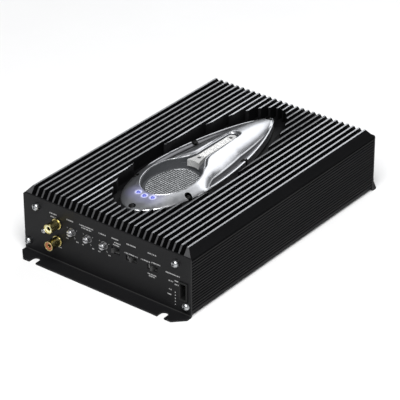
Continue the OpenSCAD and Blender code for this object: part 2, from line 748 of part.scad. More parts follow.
module filter_capacitors() {
    color("#23305e") {
        for (x = [-49, -30, 30, 49]) for (y = [4, 26]) translate([x, y, deck_z]) capacitor(8, 27);
        for (x = [-50, -36, 36, 50]) translate([x, 86, deck_z]) capacitor(5, 18);
        for (x = [-30, -10, 10, 30]) translate([x, -88, deck_z]) capacitor(4, 12);
    }
}

// A box against the right side wall, from depth a to depth b off the wall.
module wall_box(a, b, y, half, z0, z1) {
    span([inner_x - b, y - half, z0], [inner_x - a, y + half, z1]);
}

// Power transistors stand against both side walls, tabs outwards, legs bent down to the board.
module output_transistors() {
    t = pad_t + transistor_t;
    foot = transistor_z;
    color("#161617") for (s = [0, 1]) mirror([s, 0, 0]) for (y = transistor_y) {
        wall_box(pad_t, t, y, 5, foot, foot + 15);
        wall_box(pad_t, pad_t + 1.3, y, 5, foot + 15, foot + 21);
        for (k = [-2.5, 0, 2.5]) {
            wall_box(pad_t + 2.6, pad_t + 3.2, y + k, 0.4, foot - 1.6, foot);
            wall_box(pad_t + 2.6, 8.6, y + k, 0.4, foot - 2.2, foot - 1.6);
            wall_box(8, 8.6, y + k, 0.4, deck_z, foot - 2.2);
        }
    }
}

module transistor_pads() {
    color("#b9bcc4") for (s = [0, 1]) mirror([s, 0, 0]) for (y = transistor_y)
        wall_box(0, pad_t, y, 6.5, transistor_z - 1, transistor_z + 22);
}

// A spring bar along each wall presses the transistors outwards.
module transistor_clamps() {
    t = pad_t + transistor_t;
    color("#9fa1a5") for (s = [0, 1]) mirror([s, 0, 0]) difference() {
        wall_box(t, t + clamp_t, 0, transistor_y[5] + 10, clamp_screw_z - 4.5, clamp_screw_z + 4.5);
        for (y = clamp_screw_y) translate([inner_x - t - 3, y, clamp_screw_z]) rotate([0, 90, 0])
            cylinder(r = 1.2 + gap, h = 6);
    }
}

module clamp_screws() {
    color("silver") for (s = [0, 1]) mirror([s, 0, 0]) for (y = clamp_screw_y)
        translate([inner_x - pad_t - transistor_t - clamp_t, y, clamp_screw_z]) rotate([0, -90, 0])
            pan_screw(1.2, 7.6, 2.4, 1.8);
}

module output_inductors() {
    color("#9a4f22") for (x = [-18, 18]) translate([x, 88, deck_z]) rotate_extrude()
        translate([6.5, 3.4]) circle(r = 3.2, $fn = 32);
}

module power_resistors() {
    color("#c2b280") for (i = [0:5]) for (s = [-1, 1])
        translate([s * 64, -68 + i * 26, deck_z + 1.7]) rotate([0, 90, 0])
            cylinder(r = 1.7, h = 11, center = true);
}

module control_chips() {
    color("#131314") {
        for (x = [-40, -14, 14, 40]) span([x - 9.5, -66, deck_z], [x + 9.5, -59.6, deck_z + 4]);
        for (x = [-40, 0, 40]) span([x - 5, -42, deck_z], [x + 5, -35.6, deck_z + 4]);
    }
}

// ---------- rear terminals ----------

// A moulded housing through a window of the rear plate, with a bay for each metal terminal.
module terminal_housing(xs, w, h, bay_w, bay_h, driver_r) {
    mid = (xs[0] + xs[len(xs) - 1]) / 2;
    difference() {
        union() {
            span([mid - w / 2, face_y, terminal_z - h / 2],
                 [mid + w / 2, face_y + terminal_reach, terminal_z + h / 2]);
            span([mid - w / 2 + 2.2, end_y - 8, terminal_z - h / 2 + 2.2],
                 [mid + w / 2 - 2.2, face_y, terminal_z + h / 2 - 2.2]);
            span([mid - w / 2 + 4, end_y - 14, deck_z], [mid + w / 2 - 4, end_y - 8, terminal_z + h / 2 - 4]);
        }
        for (x = xs) {
            span([x - bay_w / 2 - gap, end_y - 6, terminal_z - bay_h / 2 - gap],
                 [x + bay_w / 2 + gap, face_y + 20, terminal_z + bay_h / 2 + gap]);
            translate([x, face_y + terminal_reach / 2, terminal_z]) cylinder(r = driver_r, h = 20);
        }
    }
}

// Metal terminals: a cable hole from behind and a clamping screw from above.
module terminal_blocks(xs, bay_w, bay_h, hole_r, screw_r) {
    for (x = xs) difference() {
        span([x - bay_w / 2, end_y - 6, terminal_z - bay_h / 2],
             [x + bay_w / 2, face_y + terminal_reach - 1, terminal_z + bay_h / 2]);
        on_rear([x, terminal_z], -4) cylinder(r = hole_r, h = 20);
        translate([x, face_y + terminal_reach / 2, terminal_z]) cylinder(r = screw_r + gap, h = 20);
    }
}

// Socket-headed clamping screws, backed out until a cable can go in.
module terminal_screws(xs, bay_h, hole_r, screw_r) {
    for (x = xs) translate([x, face_y + terminal_reach / 2, terminal_z + hole_r + 0.1]) difference() {
        cylinder(r = screw_r, h = bay_h / 2 - hole_r + 1.6);
        translate([0, 0, bay_h / 2 - hole_r - 0.6]) cylinder(r = screw_r * 0.55, h = 5, $fn = 6);
    }
}

module power_terminal_housing() { color("#141415") terminal_housing(power_x, 50, 24, 12, 12, 3.4); }
module power_terminals() { color("#c9b26a") terminal_blocks(power_x, 12, 12, cable_r, 2.5); }
module power_terminal_screws() { color("silver") terminal_screws(power_x, 12, cable_r, 2.5); }
module speaker_terminal_housing() { color("#141415") terminal_housing(speaker_x, 42, 22, 8, 9, 2.2); }
module speaker_terminals() { color("#c9b26a") terminal_blocks(speaker_x, 8, 9, wire_r, 1.75); }
module speaker_terminal_screws() { color("silver") terminal_screws(speaker_x, 9, wire_r, 1.75); }

// ---------- fuses ----------

module fuse_holder() {
    mid = (fuse_x[0] + fuse_x[1]) / 2;
    color("#141415") difference() {
        union() {
            span([mid - 14, face_y, fuse_z - 13], [mid + 14, face_y + 5, fuse_z + 13]);
            span([mid - 11.8, end_y - 11, fuse_z - 10.8], [mid + 11.8, face_y, fuse_z + 10.8]);
        }
        for (x = fuse_x) {
            span([x - 2.8, fuse_seat_y - 0.3, fuse_z - 9.9], [x + 2.8, face_y + 10, fuse_z + 9.9]);
            for (z = [fuse_z - fuse_blade_z, fuse_z + fuse_blade_z])
                span([x - 2, end_y - 9.5, z - 3], [x + 2, face_y + 4, z + 3]);
        }
    }
}

// Sprung clips that grip a fuse's blades from both sides.
module fuse_clips() {
    color("#c9b26a") for (x = fuse_x) for (s = [-1, 1]) {
        z = fuse_z + s * fuse_blade_z;
        difference() {
            span([x - 1.7, end_y - 9.5, z - 2.6], [x + 1.7, fuse_seat_y - 0.5, z + 2.6]);
            span([x - 0.45, end_y - 8.2, z - 3], [x + 0.45, fuse_seat_y + 1, z + 3]);
        }
    }
}

module fuse_body(x) {
    translate([x, 0, fuse_z]) {
        span([-2.3, fuse_seat_y, -9.3], [2.3, face_y + 6, 9.3]);
        difference() {
            span([-2.6, face_y + 5.6, -9.6], [2.6, face_y + 12, 9.6]);
            for (s = [-1, 1]) span([-1.6, face_y + 11.2, s * 5.5 - 1.4], [1.6, face_y + 13, s * 5.5 + 1.4]);
        }
    }
}

module fuse_blades(x) {
    for (s = [-1, 1]) span([x - 0.35, end_y - 7, fuse_z + s * fuse_blade_z - 2.5],
                           [x + 0.35, fuse_seat_y, fuse_z + s * fuse_blade_z + 2.5]);
}

module left_fuse_body() { color("#d9a520") fuse_body(fuse_x[0]); }
module left_fuse_blades() { color("#c4c5c8") fuse_blades(fuse_x[0]); }
module right_fuse_body() { color("#d9a520") fuse_body(fuse_x[1]); }
module right_fuse_blades() { color("#c4c5c8") fuse_blades(fuse_x[1]); }

heatsink_housing();
bottom_plate();
bottom_plate_screws();
front_plate();
rear_plate();
front_plate_screws();
rear_plate_screws();
badge_cover();
badge_screws();
inset_tray();
grille_mesh();
spine_bar();
spine_bar_screws();
led_board();
indicator_leds();
jack_block();
jack_sleeves();
jack_insulator_white();
jack_insulator_red();
jack_contacts();
jack_block_screw();
control_board();
control_bodies();
gain_shaft();
boost_shaft();
frequency_shaft();
switch_bodies();
range_switch_lever();
filter_switch_lever();
source_switch_lever();
input_socket();
input_socket_pins();
main_board();
board_standoffs();
board_screws();
board_link();
transformer_core();
transformer_winding();
filter_capacitors();
output_transistors();
transistor_pads();
transistor_clamps();
clamp_screws();
output_inductors();
power_resistors();
control_chips();
power_terminal_housing();
power_terminals();
power_terminal_screws();
speaker_terminal_housing();
speaker_terminals();
speaker_terminal_screws();
fuse_holder();
fuse_clips();
left_fuse_body();
left_fuse_blades();
right_fuse_body();
right_fuse_blades();
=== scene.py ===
import json
from math import cos, pi, radians, sin, sqrt
from random import Random

import bmesh
import bpy
from mathutils import Matrix, Vector

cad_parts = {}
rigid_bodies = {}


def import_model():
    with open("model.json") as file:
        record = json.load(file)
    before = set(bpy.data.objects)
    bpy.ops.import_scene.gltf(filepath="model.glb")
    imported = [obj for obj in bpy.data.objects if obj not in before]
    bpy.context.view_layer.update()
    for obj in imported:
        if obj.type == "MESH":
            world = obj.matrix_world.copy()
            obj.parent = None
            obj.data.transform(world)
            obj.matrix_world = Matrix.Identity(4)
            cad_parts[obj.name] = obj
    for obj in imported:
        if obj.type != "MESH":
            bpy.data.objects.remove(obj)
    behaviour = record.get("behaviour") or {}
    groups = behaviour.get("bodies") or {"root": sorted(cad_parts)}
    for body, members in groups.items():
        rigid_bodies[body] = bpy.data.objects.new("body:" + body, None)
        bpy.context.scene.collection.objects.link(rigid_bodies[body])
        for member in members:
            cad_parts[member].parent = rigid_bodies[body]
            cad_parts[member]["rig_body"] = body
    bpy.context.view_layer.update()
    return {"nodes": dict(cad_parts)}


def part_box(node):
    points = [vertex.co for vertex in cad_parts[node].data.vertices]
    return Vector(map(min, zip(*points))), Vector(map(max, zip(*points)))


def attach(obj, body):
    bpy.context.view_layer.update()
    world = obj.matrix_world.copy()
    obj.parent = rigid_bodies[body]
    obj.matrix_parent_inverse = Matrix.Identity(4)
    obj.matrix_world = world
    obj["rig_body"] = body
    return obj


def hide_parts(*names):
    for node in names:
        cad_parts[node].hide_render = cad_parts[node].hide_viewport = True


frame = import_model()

MM = 0.001


# ---- Studio: the pale table that the amplifier stands on ----
# A broad sheet of matt white paper, lit from the camera's side so that it washes out all round.
# A panel of light behind the object is mirrored in its badge and fin tops.

class Wire:
    """One output of a node. Arithmetic on it adds Math nodes to the same tree."""

    def __init__(self, bench, socket):
        self.bench = bench
        self.socket = socket

    def math(self, operation, *others):
        """A Math node on this output, followed by the others."""
        return self.bench.node("ShaderNodeMath", {"operation": operation}, dict(enumerate((self, *others))))

    def other(self, key):
        return Wire(self.bench, Bench.pick(self.socket.node.outputs, key))

    def __add__(self, value):
        return self.math("ADD", value)

    def __sub__(self, value):
        return self.math("SUBTRACT", value)

    def __rsub__(self, value):
        return self.bench.node("ShaderNodeMath", {"operation": "SUBTRACT"}, {0: value, 1: self})

    def __mul__(self, value):
        return self.math("MULTIPLY", value)

    def __truediv__(self, value):
        return self.math("DIVIDE", value)

    def __gt__(self, value):
        return self.math("GREATER_THAN", value)

    def __lt__(self, value):
        return self.math("LESS_THAN", value)

    def __pow__(self, value):
        return self.math("POWER", value)

    def __abs__(self):
        return self.math("ABSOLUTE")

    def at_least(self, value):
        return self.math("MAXIMUM", value)

    def at_most(self, value):
        return self.math("MINIMUM", value)

    __radd__ = __add__
    __rmul__ = __mul__


class Bench:
    """A node tree, and the one way in which this script adds nodes to it."""

    def __init__(self, tree):
        self.tree = tree

    @staticmethod
    def pick(sockets, key):
        if isinstance(key, int):
            return sockets[key]
        by_identifier = [s for s in sockets if s.identifier == key]
        return (by_identifier or [s for s in sockets if s.name == key])[0]

    def node(self, kind, settings=None, sockets=None, out=0):
        made = self.tree.nodes.new(kind)
        for key, value in (settings or {}).items():
            if key == "stops":
                ramp = made.color_ramp
                while len(ramp.elements) < len(value):
                    ramp.elements.new(1)
                for element, (place, shade) in zip(ramp.elements, value):
                    element.position = place
                    element.color = shade
            else:
                setattr(made, key, value)
        for key, value in (sockets or {}).items():
            socket = self.pick(made.inputs, key)
            if isinstance(value, Wire):
                self.tree.links.new(value.socket, socket)
            else:
                socket.default_value = value
        return Wire(self, self.pick(made.outputs, out))


class Finish(Bench):
    """A surface finish. Patterns are laid out in the object's own metres."""

    def __init__(self, name):
        self.material = bpy.data.materials.new(name)
        self.material.use_nodes = True
        super().__init__(self.material.node_tree)
        self.shader = self.tree.nodes["Principled BSDF"]
        self.spot = self.node("ShaderNodeTexCoord", out="Object")
        split = self.node("ShaderNodeSeparateXYZ", None, {"Vector": self.spot})
        self.x, self.y, self.z = split, split.other("Y"), split.other("Z")

    def stretched(self, scale):
        return self.node("ShaderNodeVectorMath", {"operation": "MULTIPLY"}, {0: self.spot, 1: scale})

    def grain(self, size, detail=2.0, stretch=(1, 1, 1)):
        """Cloudy variation from 0 to 1, with features of about that size in metres."""
        sockets = {"Vector": self.stretched(stretch), "Scale": 1 / size, "Detail": detail}
        return self.node("ShaderNodeTexNoise", None, sockets)

    def span(self, value, low, high, start=0.0, end=1.0):
        """value, carried from low..high to start..end and held there."""
        sockets = {"Value": value, "From Min": low, "From Max": high, "To Min": start, "To Max": end}
        return self.node("ShaderNodeMapRange", {"interpolation_type": "SMOOTHSTEP"}, sockets)

    def blend(self, amount, first, second):
        sockets = {"Factor_Float": amount, "A_Color": first, "B_Color": second}
        return self.node("ShaderNodeMix", {"data_type": "RGBA"}, sockets, "Result_Color")

    def relief(self, height, depth):
        return self.node("ShaderNodeBump", None, {"Height": height, "Distance": depth})

    def wear(self, **sockets):
        """Sets the shader's sockets, which are named with underscores for spaces."""
        for key, value in sockets.items():
            socket = self.shader.inputs[key.replace("_", " ")]
            if isinstance(value, Wire):
                self.tree.links.new(value.socket, socket)
            else:
                socket.default_value = value
        return self


def shade(red, green=None, blue=None):
    return (red, red if green is None else green, red if blue is None else blue, 1)


def mesh_object(name, mesh):
    made = bpy.data.objects.new(name, mesh)
    bpy.context.scene.collection.objects.link(made)
    return made


paper = Finish("paper")
paper.wear(Base_Color=paper.blend(paper.grain(0.05), shade(0.86), shade(0.88)), Roughness=0.9,
           Specular_IOR_Level=0.1, Normal=paper.relief(paper.grain(0.0006), 0.00002))
floor_half = 5.0
floor_mesh = bpy.data.meshes.new("floor")
floor_corners = [(-floor_half, -floor_half, 0), (floor_half, -floor_half, 0),
                 (floor_half, floor_half, 0), (-floor_half, floor_half, 0)]
floor_mesh.from_pydata(floor_corners, [], [(0, 1, 2, 3)])
floor_mesh.materials.append(paper.material)
mesh_object("floor", floor_mesh)

camera_place = Vector((0.97080, -1.24572, 0.93009))
camera_target = Vector((0.007589, -0.014285, 0.027846))
camera_roll = radians(-0.236)
camera_data = bpy.data.cameras.new("camera")
camera_data.lens = 194.365
camera_data.sensor_width = 36
camera_data.clip_start = 0.05
camera = bpy.data.objects.new("camera", camera_data)
bpy.context.scene.collection.objects.link(camera)
back = (camera_place - camera_target).normalized()
right = Vector((0, 0, 1)).cross(back).normalized()
up = back.cross(right)
right, up = (right * cos(camera_roll) + up * sin(camera_roll),
             up * cos(camera_roll) - right * sin(camera_roll))
camera.matrix_world = Matrix.Translation(camera_place) @ Matrix((right, up, back)).transposed().to_4x4()
bpy.context.scene.camera = camera


def softbox(name, place, target, size, power, tint=(1, 1, 1)):
    """A rectangular lamp at place, facing target."""
    lamp = bpy.data.lights.new(name, "AREA")
    lamp.shape = "RECTANGLE"
    lamp.size, lamp.size_y = size
    lamp.energy = power
    lamp.color = tint
    made = bpy.data.objects.new(name, lamp)
    bpy.context.scene.collection.objects.link(made)
    made.location = place
    made.rotation_euler = (Vector(target) - Vector(place)).to_track_quat("-Z", "Y").to_euler()


softbox("floor_key", (0.9, -1.3, 2.3), (0, 0, 0), (2.2, 2.2), 118)
softbox("back_panel", (-0.10, 1.57, 1.24), (0, 0.05, 0.05), (2.0, 1.4), 14, (0.97, 0.98, 1.0))
softbox("right_edge", (1.5, 0.7, 0.55), (0, 0.05, 0.05), (0.5, 0.7), 2.2)
world = bpy.data.worlds.new("studio")
bpy.context.scene.world = world
world.use_nodes = True
world.node_tree.nodes["Background"].inputs["Color"].default_value = shade(0.92, 0.95, 1.0)
world.node_tree.nodes["Background"].inputs["Strength"].default_value = 0.05
bpy.context.scene.view_settings.view_transform = "Standard"


# ---- Housing: one aluminium extrusion ----
# Fins, roof and ribbed sides are extruded in one and black anodised.
# The fin tops and their sloping ends are then milled, which leaves them bright.

def tidy_mesh(node):
    """A copy of a CAD node's mesh, with its loose triangles joined and its flat faces made whole."""
    work = bmesh.new()
    work.from_mesh(frame["nodes"][node].data)
    bmesh.ops.remove_doubles(work, verts=work.verts, dist=0.002 * MM)
    bmesh.ops.dissolve_limit(work, angle_limit=radians(0.6), verts=work.verts, edges=work.edges)
    return work


def to_object(name, work, finish, smooth_below=38):
    mesh = bpy.data.meshes.new(name)
    work.to_mesh(mesh)
    work.free()
    mesh.materials.clear()
    mesh.materials.append(finish.material)
    mesh.shade_smooth()
    mesh.set_sharp_from_angle(angle=radians(smooth_below))
    return mesh_object(name, mesh)


def stands_for(piece, node):
    """piece rides with this CAD node's body and is shown in its place."""
    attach(piece, frame["nodes"][node]["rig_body"])
    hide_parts(node)


def fettled(node, finish, edge=0.15 * MM, segments=2, smooth_below=38):
    """The CAD node with its sharp edges broken by a small radius."""
    piece = to_object(node + ".fettled", tidy_mesh(node), finish, smooth_below)
    rounding = piece.modifiers.new("edge", "BEVEL")
    rounding.width = edge
    rounding.segments = segments
    rounding.limit_method = "ANGLE"
    rounding.angle_limit = radians(40)
    rounding.harden_normals = True
    stands_for(piece, node)


housing_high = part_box("heatsink_housing")[1]
plate_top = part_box("front_plate")[1].z
fin_top = housing_high.z
slope_run = 4.2 * MM
slope_start = housing_high.y - slope_run
housing = Finish("anodised_extrusion")
die_lines = housing.grain(0.0009, 1, (1, 0.004, 1))
cloud = housing.grain(0.02)
milled_top = housing.z > fin_top - 0.02 * MM
slope_plane = fin_top - (abs(housing.y) - slope_start) * ((fin_top - plate_top) / slope_run)
milled_end = (abs(housing.y) > slope_start) * (abs(housing.z - slope_plane) < 0.06 * MM)
black = housing.blend(cloud, shade(0.0034, 0.0034, 0.0037), shade(0.0052, 0.0052, 0.0057))
bright = housing.blend(die_lines, shade(0.50, 0.51, 0.53), shade(0.62, 0.63, 0.65))
end_metal = housing.blend(die_lines, shade(0.055, 0.055, 0.057), shade(0.078, 0.078, 0.081))
housing.wear(Base_Color=housing.blend(milled_end, housing.blend(milled_top, black, bright), end_metal),
             Metallic=milled_top * 0.85, Specular_IOR_Level=0.06,
             Roughness=housing.span(die_lines, 0.3, 0.7, 0.34, 0.46),
             Normal=housing.relief(die_lines, 0.00003))
fettled("heatsink_housing", housing, 0.12 * MM, 1)


# ---- Bottom plate: 1.5 mm steel sheet ----
# Punched with cooling louvres, blackened, and let into the foot of the extrusion.
# Eight countersunk screws hold it to the ledges.

sheet_black = Finish("blackened_sheet")
roll = sheet_black.grain(0.004, 3, (1, 0.08, 1))
sheet_black.wear(Base_Color=sheet_black.blend(roll, shade(0.018, 0.018, 0.019), shade(0.034, 0.034, 0.036)),
                 Metallic=0.5, Roughness=sheet_black.span(roll, 0.3, 0.7, 0.42, 0.55),
                 Normal=sheet_black.relief(roll, 0.00002))
fettled("bottom_plate", sheet_black, 0.1 * MM)


# ---- End plates: 1.6 mm steel sheet ----
# Blanked, punched and bent once, so that the flange reaches out along the floor.
# They are powder coated black with a fine texture, with a painted highlight as a pale stripe along the
# bend.

coat = Finish("powder_coat")
pebble = coat.grain(0.0005, 2)
patch = coat.grain(0.03, 2)
bend_at = 2.1 * MM
# Painted highlight: a pale stripe along the bend line, where light catches the curve of the sheet.
painted_bend_highlight = abs(coat.z - bend_at) < 0.4 * MM
plain_coat = coat.blend(patch, shade(0.0062, 0.0062, 0.0068), shade(0.0094, 0.0094, 0.0102))
coat.wear(Base_Color=coat.blend(painted_bend_highlight, plain_coat, shade(0.034)),
          Specular_IOR_Level=0.15, Roughness=coat.span(pebble, 0.3, 0.7, 0.42, 0.56),
          Normal=coat.relief(pebble, 0.00004))
fettled("front_plate", coat, 0.2 * MM)
fettled("rear_plate", coat, 0.2 * MM)


# ---- Screws ----
# Cold headed steel, zinc plated. Pan heads hold the plates and boards; flat heads hold the floor.
# Each head is domed, with a cross recess.

class Layout(Bench):
    """A Geometry Nodes tree with named sizes, which run() turns into a plain mesh."""

    def __init__(self, name, **sizes):
        self.group = bpy.data.node_groups.new(name, "GeometryNodeTree")
        super().__init__(self.group)
        face = self.group.interface
        face.new_socket("Geometry", in_out="INPUT", socket_type="NodeSocketGeometry")
        for key, value in sizes.items():
            kind = "NodeSocketInt" if isinstance(value, int) else "NodeSocketFloat"
            face.new_socket(key, in_out="INPUT", socket_type=kind)
        face.new_socket("Geometry", in_out="OUTPUT", socket_type="NodeSocketGeometry")
        self.sizes = sizes
        self.given = self.tree.nodes.new("NodeGroupInput")

    def size(self, key):
        return Wire(self, self.pick(self.given.outputs, key))

    def run(self, name, geometry, finish, base=None):
        """Ends the tree, runs it on base and returns the result as a plain object."""
        real = self.node("GeometryNodeRealizeInstances", None, {"Geometry": geometry})
        coated = self.node("GeometryNodeSetMaterial", None, {"Geometry": real, "Material": finish.material})
        end = self.tree.nodes.new("NodeGroupOutput")
        self.tree.links.new(coated.socket, end.inputs[0])
        holder = mesh_object(name + ".base", base or bpy.data.meshes.new(name + ".base"))
        modifier = holder.modifiers.new("layout", "NODES")
        modifier.node_group = self.group
        for item in self.group.interface.items_tree:
            if item.item_type == "SOCKET" and item.in_out == "INPUT" and item.name in self.sizes:
                modifier[item.identifier] = self.sizes[item.name]
        bpy.context.view_layer.update()
        evaluated = holder.evaluated_get(bpy.context.evaluated_depsgraph_get())
        mesh = bpy.data.meshes.new_from_object(evaluated)
        mesh.name = name
        holder.modifiers.remove(modifier)
        bpy.data.objects.remove(holder)
        return mesh_object(name, mesh)


def turned(profile, steps=40):
    """A bmesh turned about Z from (radius, height) pairs that start and end on the axis."""
    work = bmesh.new()
    round_steps = [2 * pi * i / steps for i in range(steps)]
    rings = []
    for radius, height in profile:
        if radius == 0:
            rings.append([work.verts.new((0, 0, height))])
        else:
            rings.append([work.verts.new((radius * cos(a), radius * sin(a), height)) for a in round_steps])
    for lower, upper in zip(rings, rings[1:]):
        for i in range(steps):
            j = (i + 1) % steps
            corners = [lower[i % len(lower)], lower[j % len(lower)],
                       upper[j % len(upper)], upper[i % len(upper)]]
            work.faces.new(list(dict.fromkeys(corners)))
    bmesh.ops.recalc_face_normals(work, faces=work.faces)
    return work


def cut(target, tool):
    """Removes the tool's shape from the target object, and then the tool."""
    carve = target.modifiers.new("cut", "BOOLEAN")
    carve.operation = "DIFFERENCE"
    carve.solver = "EXACT"
    carve.object = tool
    bpy.context.view_layer.update()
    mesh = bpy.data.meshes.new_from_object(target.evaluated_get(bpy.context.evaluated_depsgraph_get()))
    target.modifiers.remove(carve)
    target.data = mesh
    bpy.data.objects.remove(tool)


def screw_pattern(name, shank, length, head, height, flat, finish):
    """One screw with its seat at the origin and its head towards +Z."""
    chamfer = shank * 0.25
    if flat:
        profile = [(0, -length), (shank - chamfer, -length), (shank, chamfer - length),
                   (shank, shank - head), (head * 0.97, -0.04 * MM), (head, 0), (0, 0)]
    else:
        dome = [(head * cos(a), height * (0.35 + 0.65 * sin(a))) for a in map(radians, range(0, 90, 15))]
        profile = [(0, -length), (shank - chamfer, -length), (shank, chamfer - length), (shank, 0),
                   (head * 0.94, 0), (head, height * 0.12)] + dome + [(0, height)]
    screw = to_object(name, turned(profile, 32), finish)
    top = 0 if flat else height
    depth = 0.55 * (head - shank if flat else height)
    for turn in (0, 90):
        cross = bmesh.new()
        made = bmesh.ops.create_cube(cross, size=1)["verts"]
        bmesh.ops.scale(cross, vec=(head * 1.15, head * 0.2, depth * 2), verts=made)
        for v in made:
            if v.co.z < 0:
                v.co.x *= 0.45
        turning = Matrix.Translation((0, 0, top)) @ Matrix.Rotation(radians(turn), 4, "Z")
        bmesh.ops.transform(cross, matrix=turning, verts=made)
        bmesh.ops.recalc_face_normals(cross, faces=cross.faces)
        cut(screw, to_object(name + ".cross", cross, finish))
    screw.data.materials.clear()
    screw.data.materials.append(finish.material)
    screw.data.shade_smooth()
    screw.data.set_sharp_from_angle(angle=radians(38))
    return screw


def solids(node):
    """(lowest corner, highest corner) of each separate solid of a CAD node, in a steady order."""
    work = bmesh.new()
    work.from_mesh(frame["nodes"][node].data)
    bmesh.ops.remove_doubles(work, verts=work.verts, dist=0.002 * MM)
    left = set(work.verts)
    boxes = []
    while left:
        island, edge = set(), {next(iter(left))}
        while edge:
            island |= edge
            edge = {e.other_vert(v) for v in edge for e in v.link_edges} - island
        left -= island
        places = [v.co for v in island]
        boxes.append((Vector([min(p[k] for p in places) for k in range(3)]),
                      Vector([max(p[k] for p in places) for k in range(3)])))
    work.free()
    return sorted(boxes, key=lambda box: [round(c, 5) for c in box[0]])


def seated(node, facing, seat):
    """Seats of a node's screws, whose heads face away along facing(middle of the screw).

    seat is how far the shank's end lies behind the seat.
    """
    seats = []
    for low, high in solids(node):
        middle = (low + high) / 2
        way = Vector(facing(middle))
        reach = abs((high - low).dot(way)) / 2
        seats.append((middle - way * (reach - seat), way))
    return seats


def spread(name, pattern, places, finish):
    """Copies of the pattern at (place, the way its +Z points), made into one plain mesh."""
    points = bpy.data.meshes.new(name + ".points")
    points.from_pydata([place for place, way in places], [], [])
    facing = points.attributes.new("facing", "FLOAT_VECTOR", "POINT")
    for item, (place, way) in zip(facing.data, places):
        item.vector = way
    tree = Layout(name)
    copy = tree.node("GeometryNodeObjectInfo", None, {"Object": pattern}, "Geometry")
    way = tree.node("GeometryNodeInputNamedAttribute", {"data_type": "FLOAT_VECTOR"}, {"Name": "facing"},
                    "Attribute")
    turn = tree.node("FunctionNodeAlignRotationToVector", {"axis": "Z"}, {"Vector": way})
    sockets = {"Points": tree.size("Geometry"), "Instance": copy, "Rotation": turn}
    return tree.run(name, tree.node("GeometryNodeInstanceOnPoints", None, sockets), finish, points)


zinc = Finish("zinc_plate")
mottle = zinc.grain(0.0012, 3)
zinc.wear(Base_Color=zinc.blend(mottle, shade(0.36, 0.37, 0.38), shade(0.52, 0.53, 0.54)), Metallic=1.0,
          Roughness=zinc.span(mottle, 0.3, 0.7, 0.24, 0.40), Normal=zinc.relief(mottle, 0.00001))
blacked = Finish("blacked_steel")
bloom = blacked.grain(0.001, 3)
blacked.wear(Base_Color=blacked.blend(bloom, shade(0.006), shade(0.014)), Metallic=0.3,
             Specular_IOR_Level=0.2, Roughness=blacked.span(bloom, 0.3, 0.7, 0.4, 0.55),
             Normal=blacked.relief(bloom, 0.00001))


def to_front(middle):
    return (0, -1, 0)


def to_rear(middle):
    return (0, 1, 0)


def upwards(middle):
    return (0, 0, 1)


def downwards(middle):
    return (0, 0, -1)


def to_inside(middle):
    return (-1 if middle.x > 0 else 1, 0, 0)


def screws(node, finish, facing, shank, length, head, height, flat=False):
    """Puts a detailed screw in place of each of a node's plain ones.

    shank and head are radii, and all four sizes are in millimetres.
    """
    sizes = [size * MM for size in (shank, length, head, height)]
    pattern = screw_pattern(node + ".pattern", *sizes, flat, finish)
    piece = spread(node + ".detailed", pattern, seated(node, facing, length * MM), finish)
    bpy.data.objects.remove(pattern)
    stands_for(piece, node)


screws("front_plate_screws", zinc, to_front, shank=1.5, length=13.6, head=3.3, height=4)
screws("rear_plate_screws", zinc, to_rear, shank=1.5, length=13.6, head=3.3, height=4)
screws("badge_screws", blacked, upwards, shank=1.2, length=11.3, head=2.0, height=1.3)
screws("spine_bar_screws", blacked, upwards, shank=0.9, length=4, head=1.6, height=0.8)
screws("jack_block_screw", zinc, to_front, shank=1.2, length=5, head=2.3, height=1.9)
screws("board_screws", zinc, upwards, shank=1.2, length=5, head=2.4, height=1.8)
screws("clamp_screws", zinc, to_inside, shank=1.2, length=7.6, head=2.4, height=1.8)
screws("bottom_plate_screws", blacked, downwards, shank=1.2, length=7, head=2.3, height=1.1, flat=True)


# ---- Badge: a polished casting ----
# A boat-shaped cover, rounded in front and pointed behind, with an oval opening that narrows to a slot.
# A flute is sunk into each flank behind the opening, inside a raised lip. Six screws hold it down.

badge_low, badge_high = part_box("badge_cover")
badge_half_width = badge_high.x
badge_waist = -25 * MM
badge_front = badge_waist - badge_low.y
badge_back = badge_high.y - badge_waist
rim_height = 55.7 * MM
crown_height = 64.5 * MM
crown_at = 15 * MM
grille_at = -42 * MM
grille_half = (22.9 * MM, 31.5 * MM)
neck_at = -19 * MM
slot_half_width = 5.4 * MM
slot_end = 46.3 * MM
flute_widest = 9.3 * MM
flute_start = -42 * MM
flute_opens_over = 26 * MM
flute_closes_over = 72 * MM
flute_depth = 0.7 * MM
lip_height = 1.1 * MM
lip_width = 2.7 * MM
edge_radius = 0.9 * MM
edge_drop = 0.7 * MM


def ease(value):
    held = min(1.0, max(0.0, value))
    return held * held * (3 - 2 * held)


def badge_half(y):
    if y < badge_waist:
        return badge_half_width * sqrt(max(0, 1 - ((badge_waist - y) / badge_front) ** 2))
    return badge_half_width * max(0, 1 - ((y - badge_waist) / badge_back) ** 1.8) ** 0.75


def opening_half(y):
    oval = grille_half[0] * sqrt(max(0, 1 - ((y - grille_at) / grille_half[1]) ** 2))
    if y < neck_at:
        return oval
    slot = slot_half_width
    if y > slot_end - slot_half_width:
        slot = sqrt(max(0, slot_half_width ** 2 - (y - slot_end + slot_half_width) ** 2))
    neck = ease((y - neck_at) / (24 * MM))
    return (1 - neck) * max(oval, slot + 9 * MM * (1 - neck)) + neck * slot


def crown(y):
    rise = crown_height - rim_height
    if y < crown_at:
        return crown_height - rise * ((crown_at - y) / (crown_at - badge_low.y)) ** 1.85
    return crown_height - rise * ((y - crown_at) / (badge_high.y - crown_at)) ** 2.8


def outline(half, start, end, angle):
    y = (start + end) / 2 + (end - start) / 2 * sin(angle)
    return Vector((half(y) * (1 if cos(angle) > 0 else -1), y))


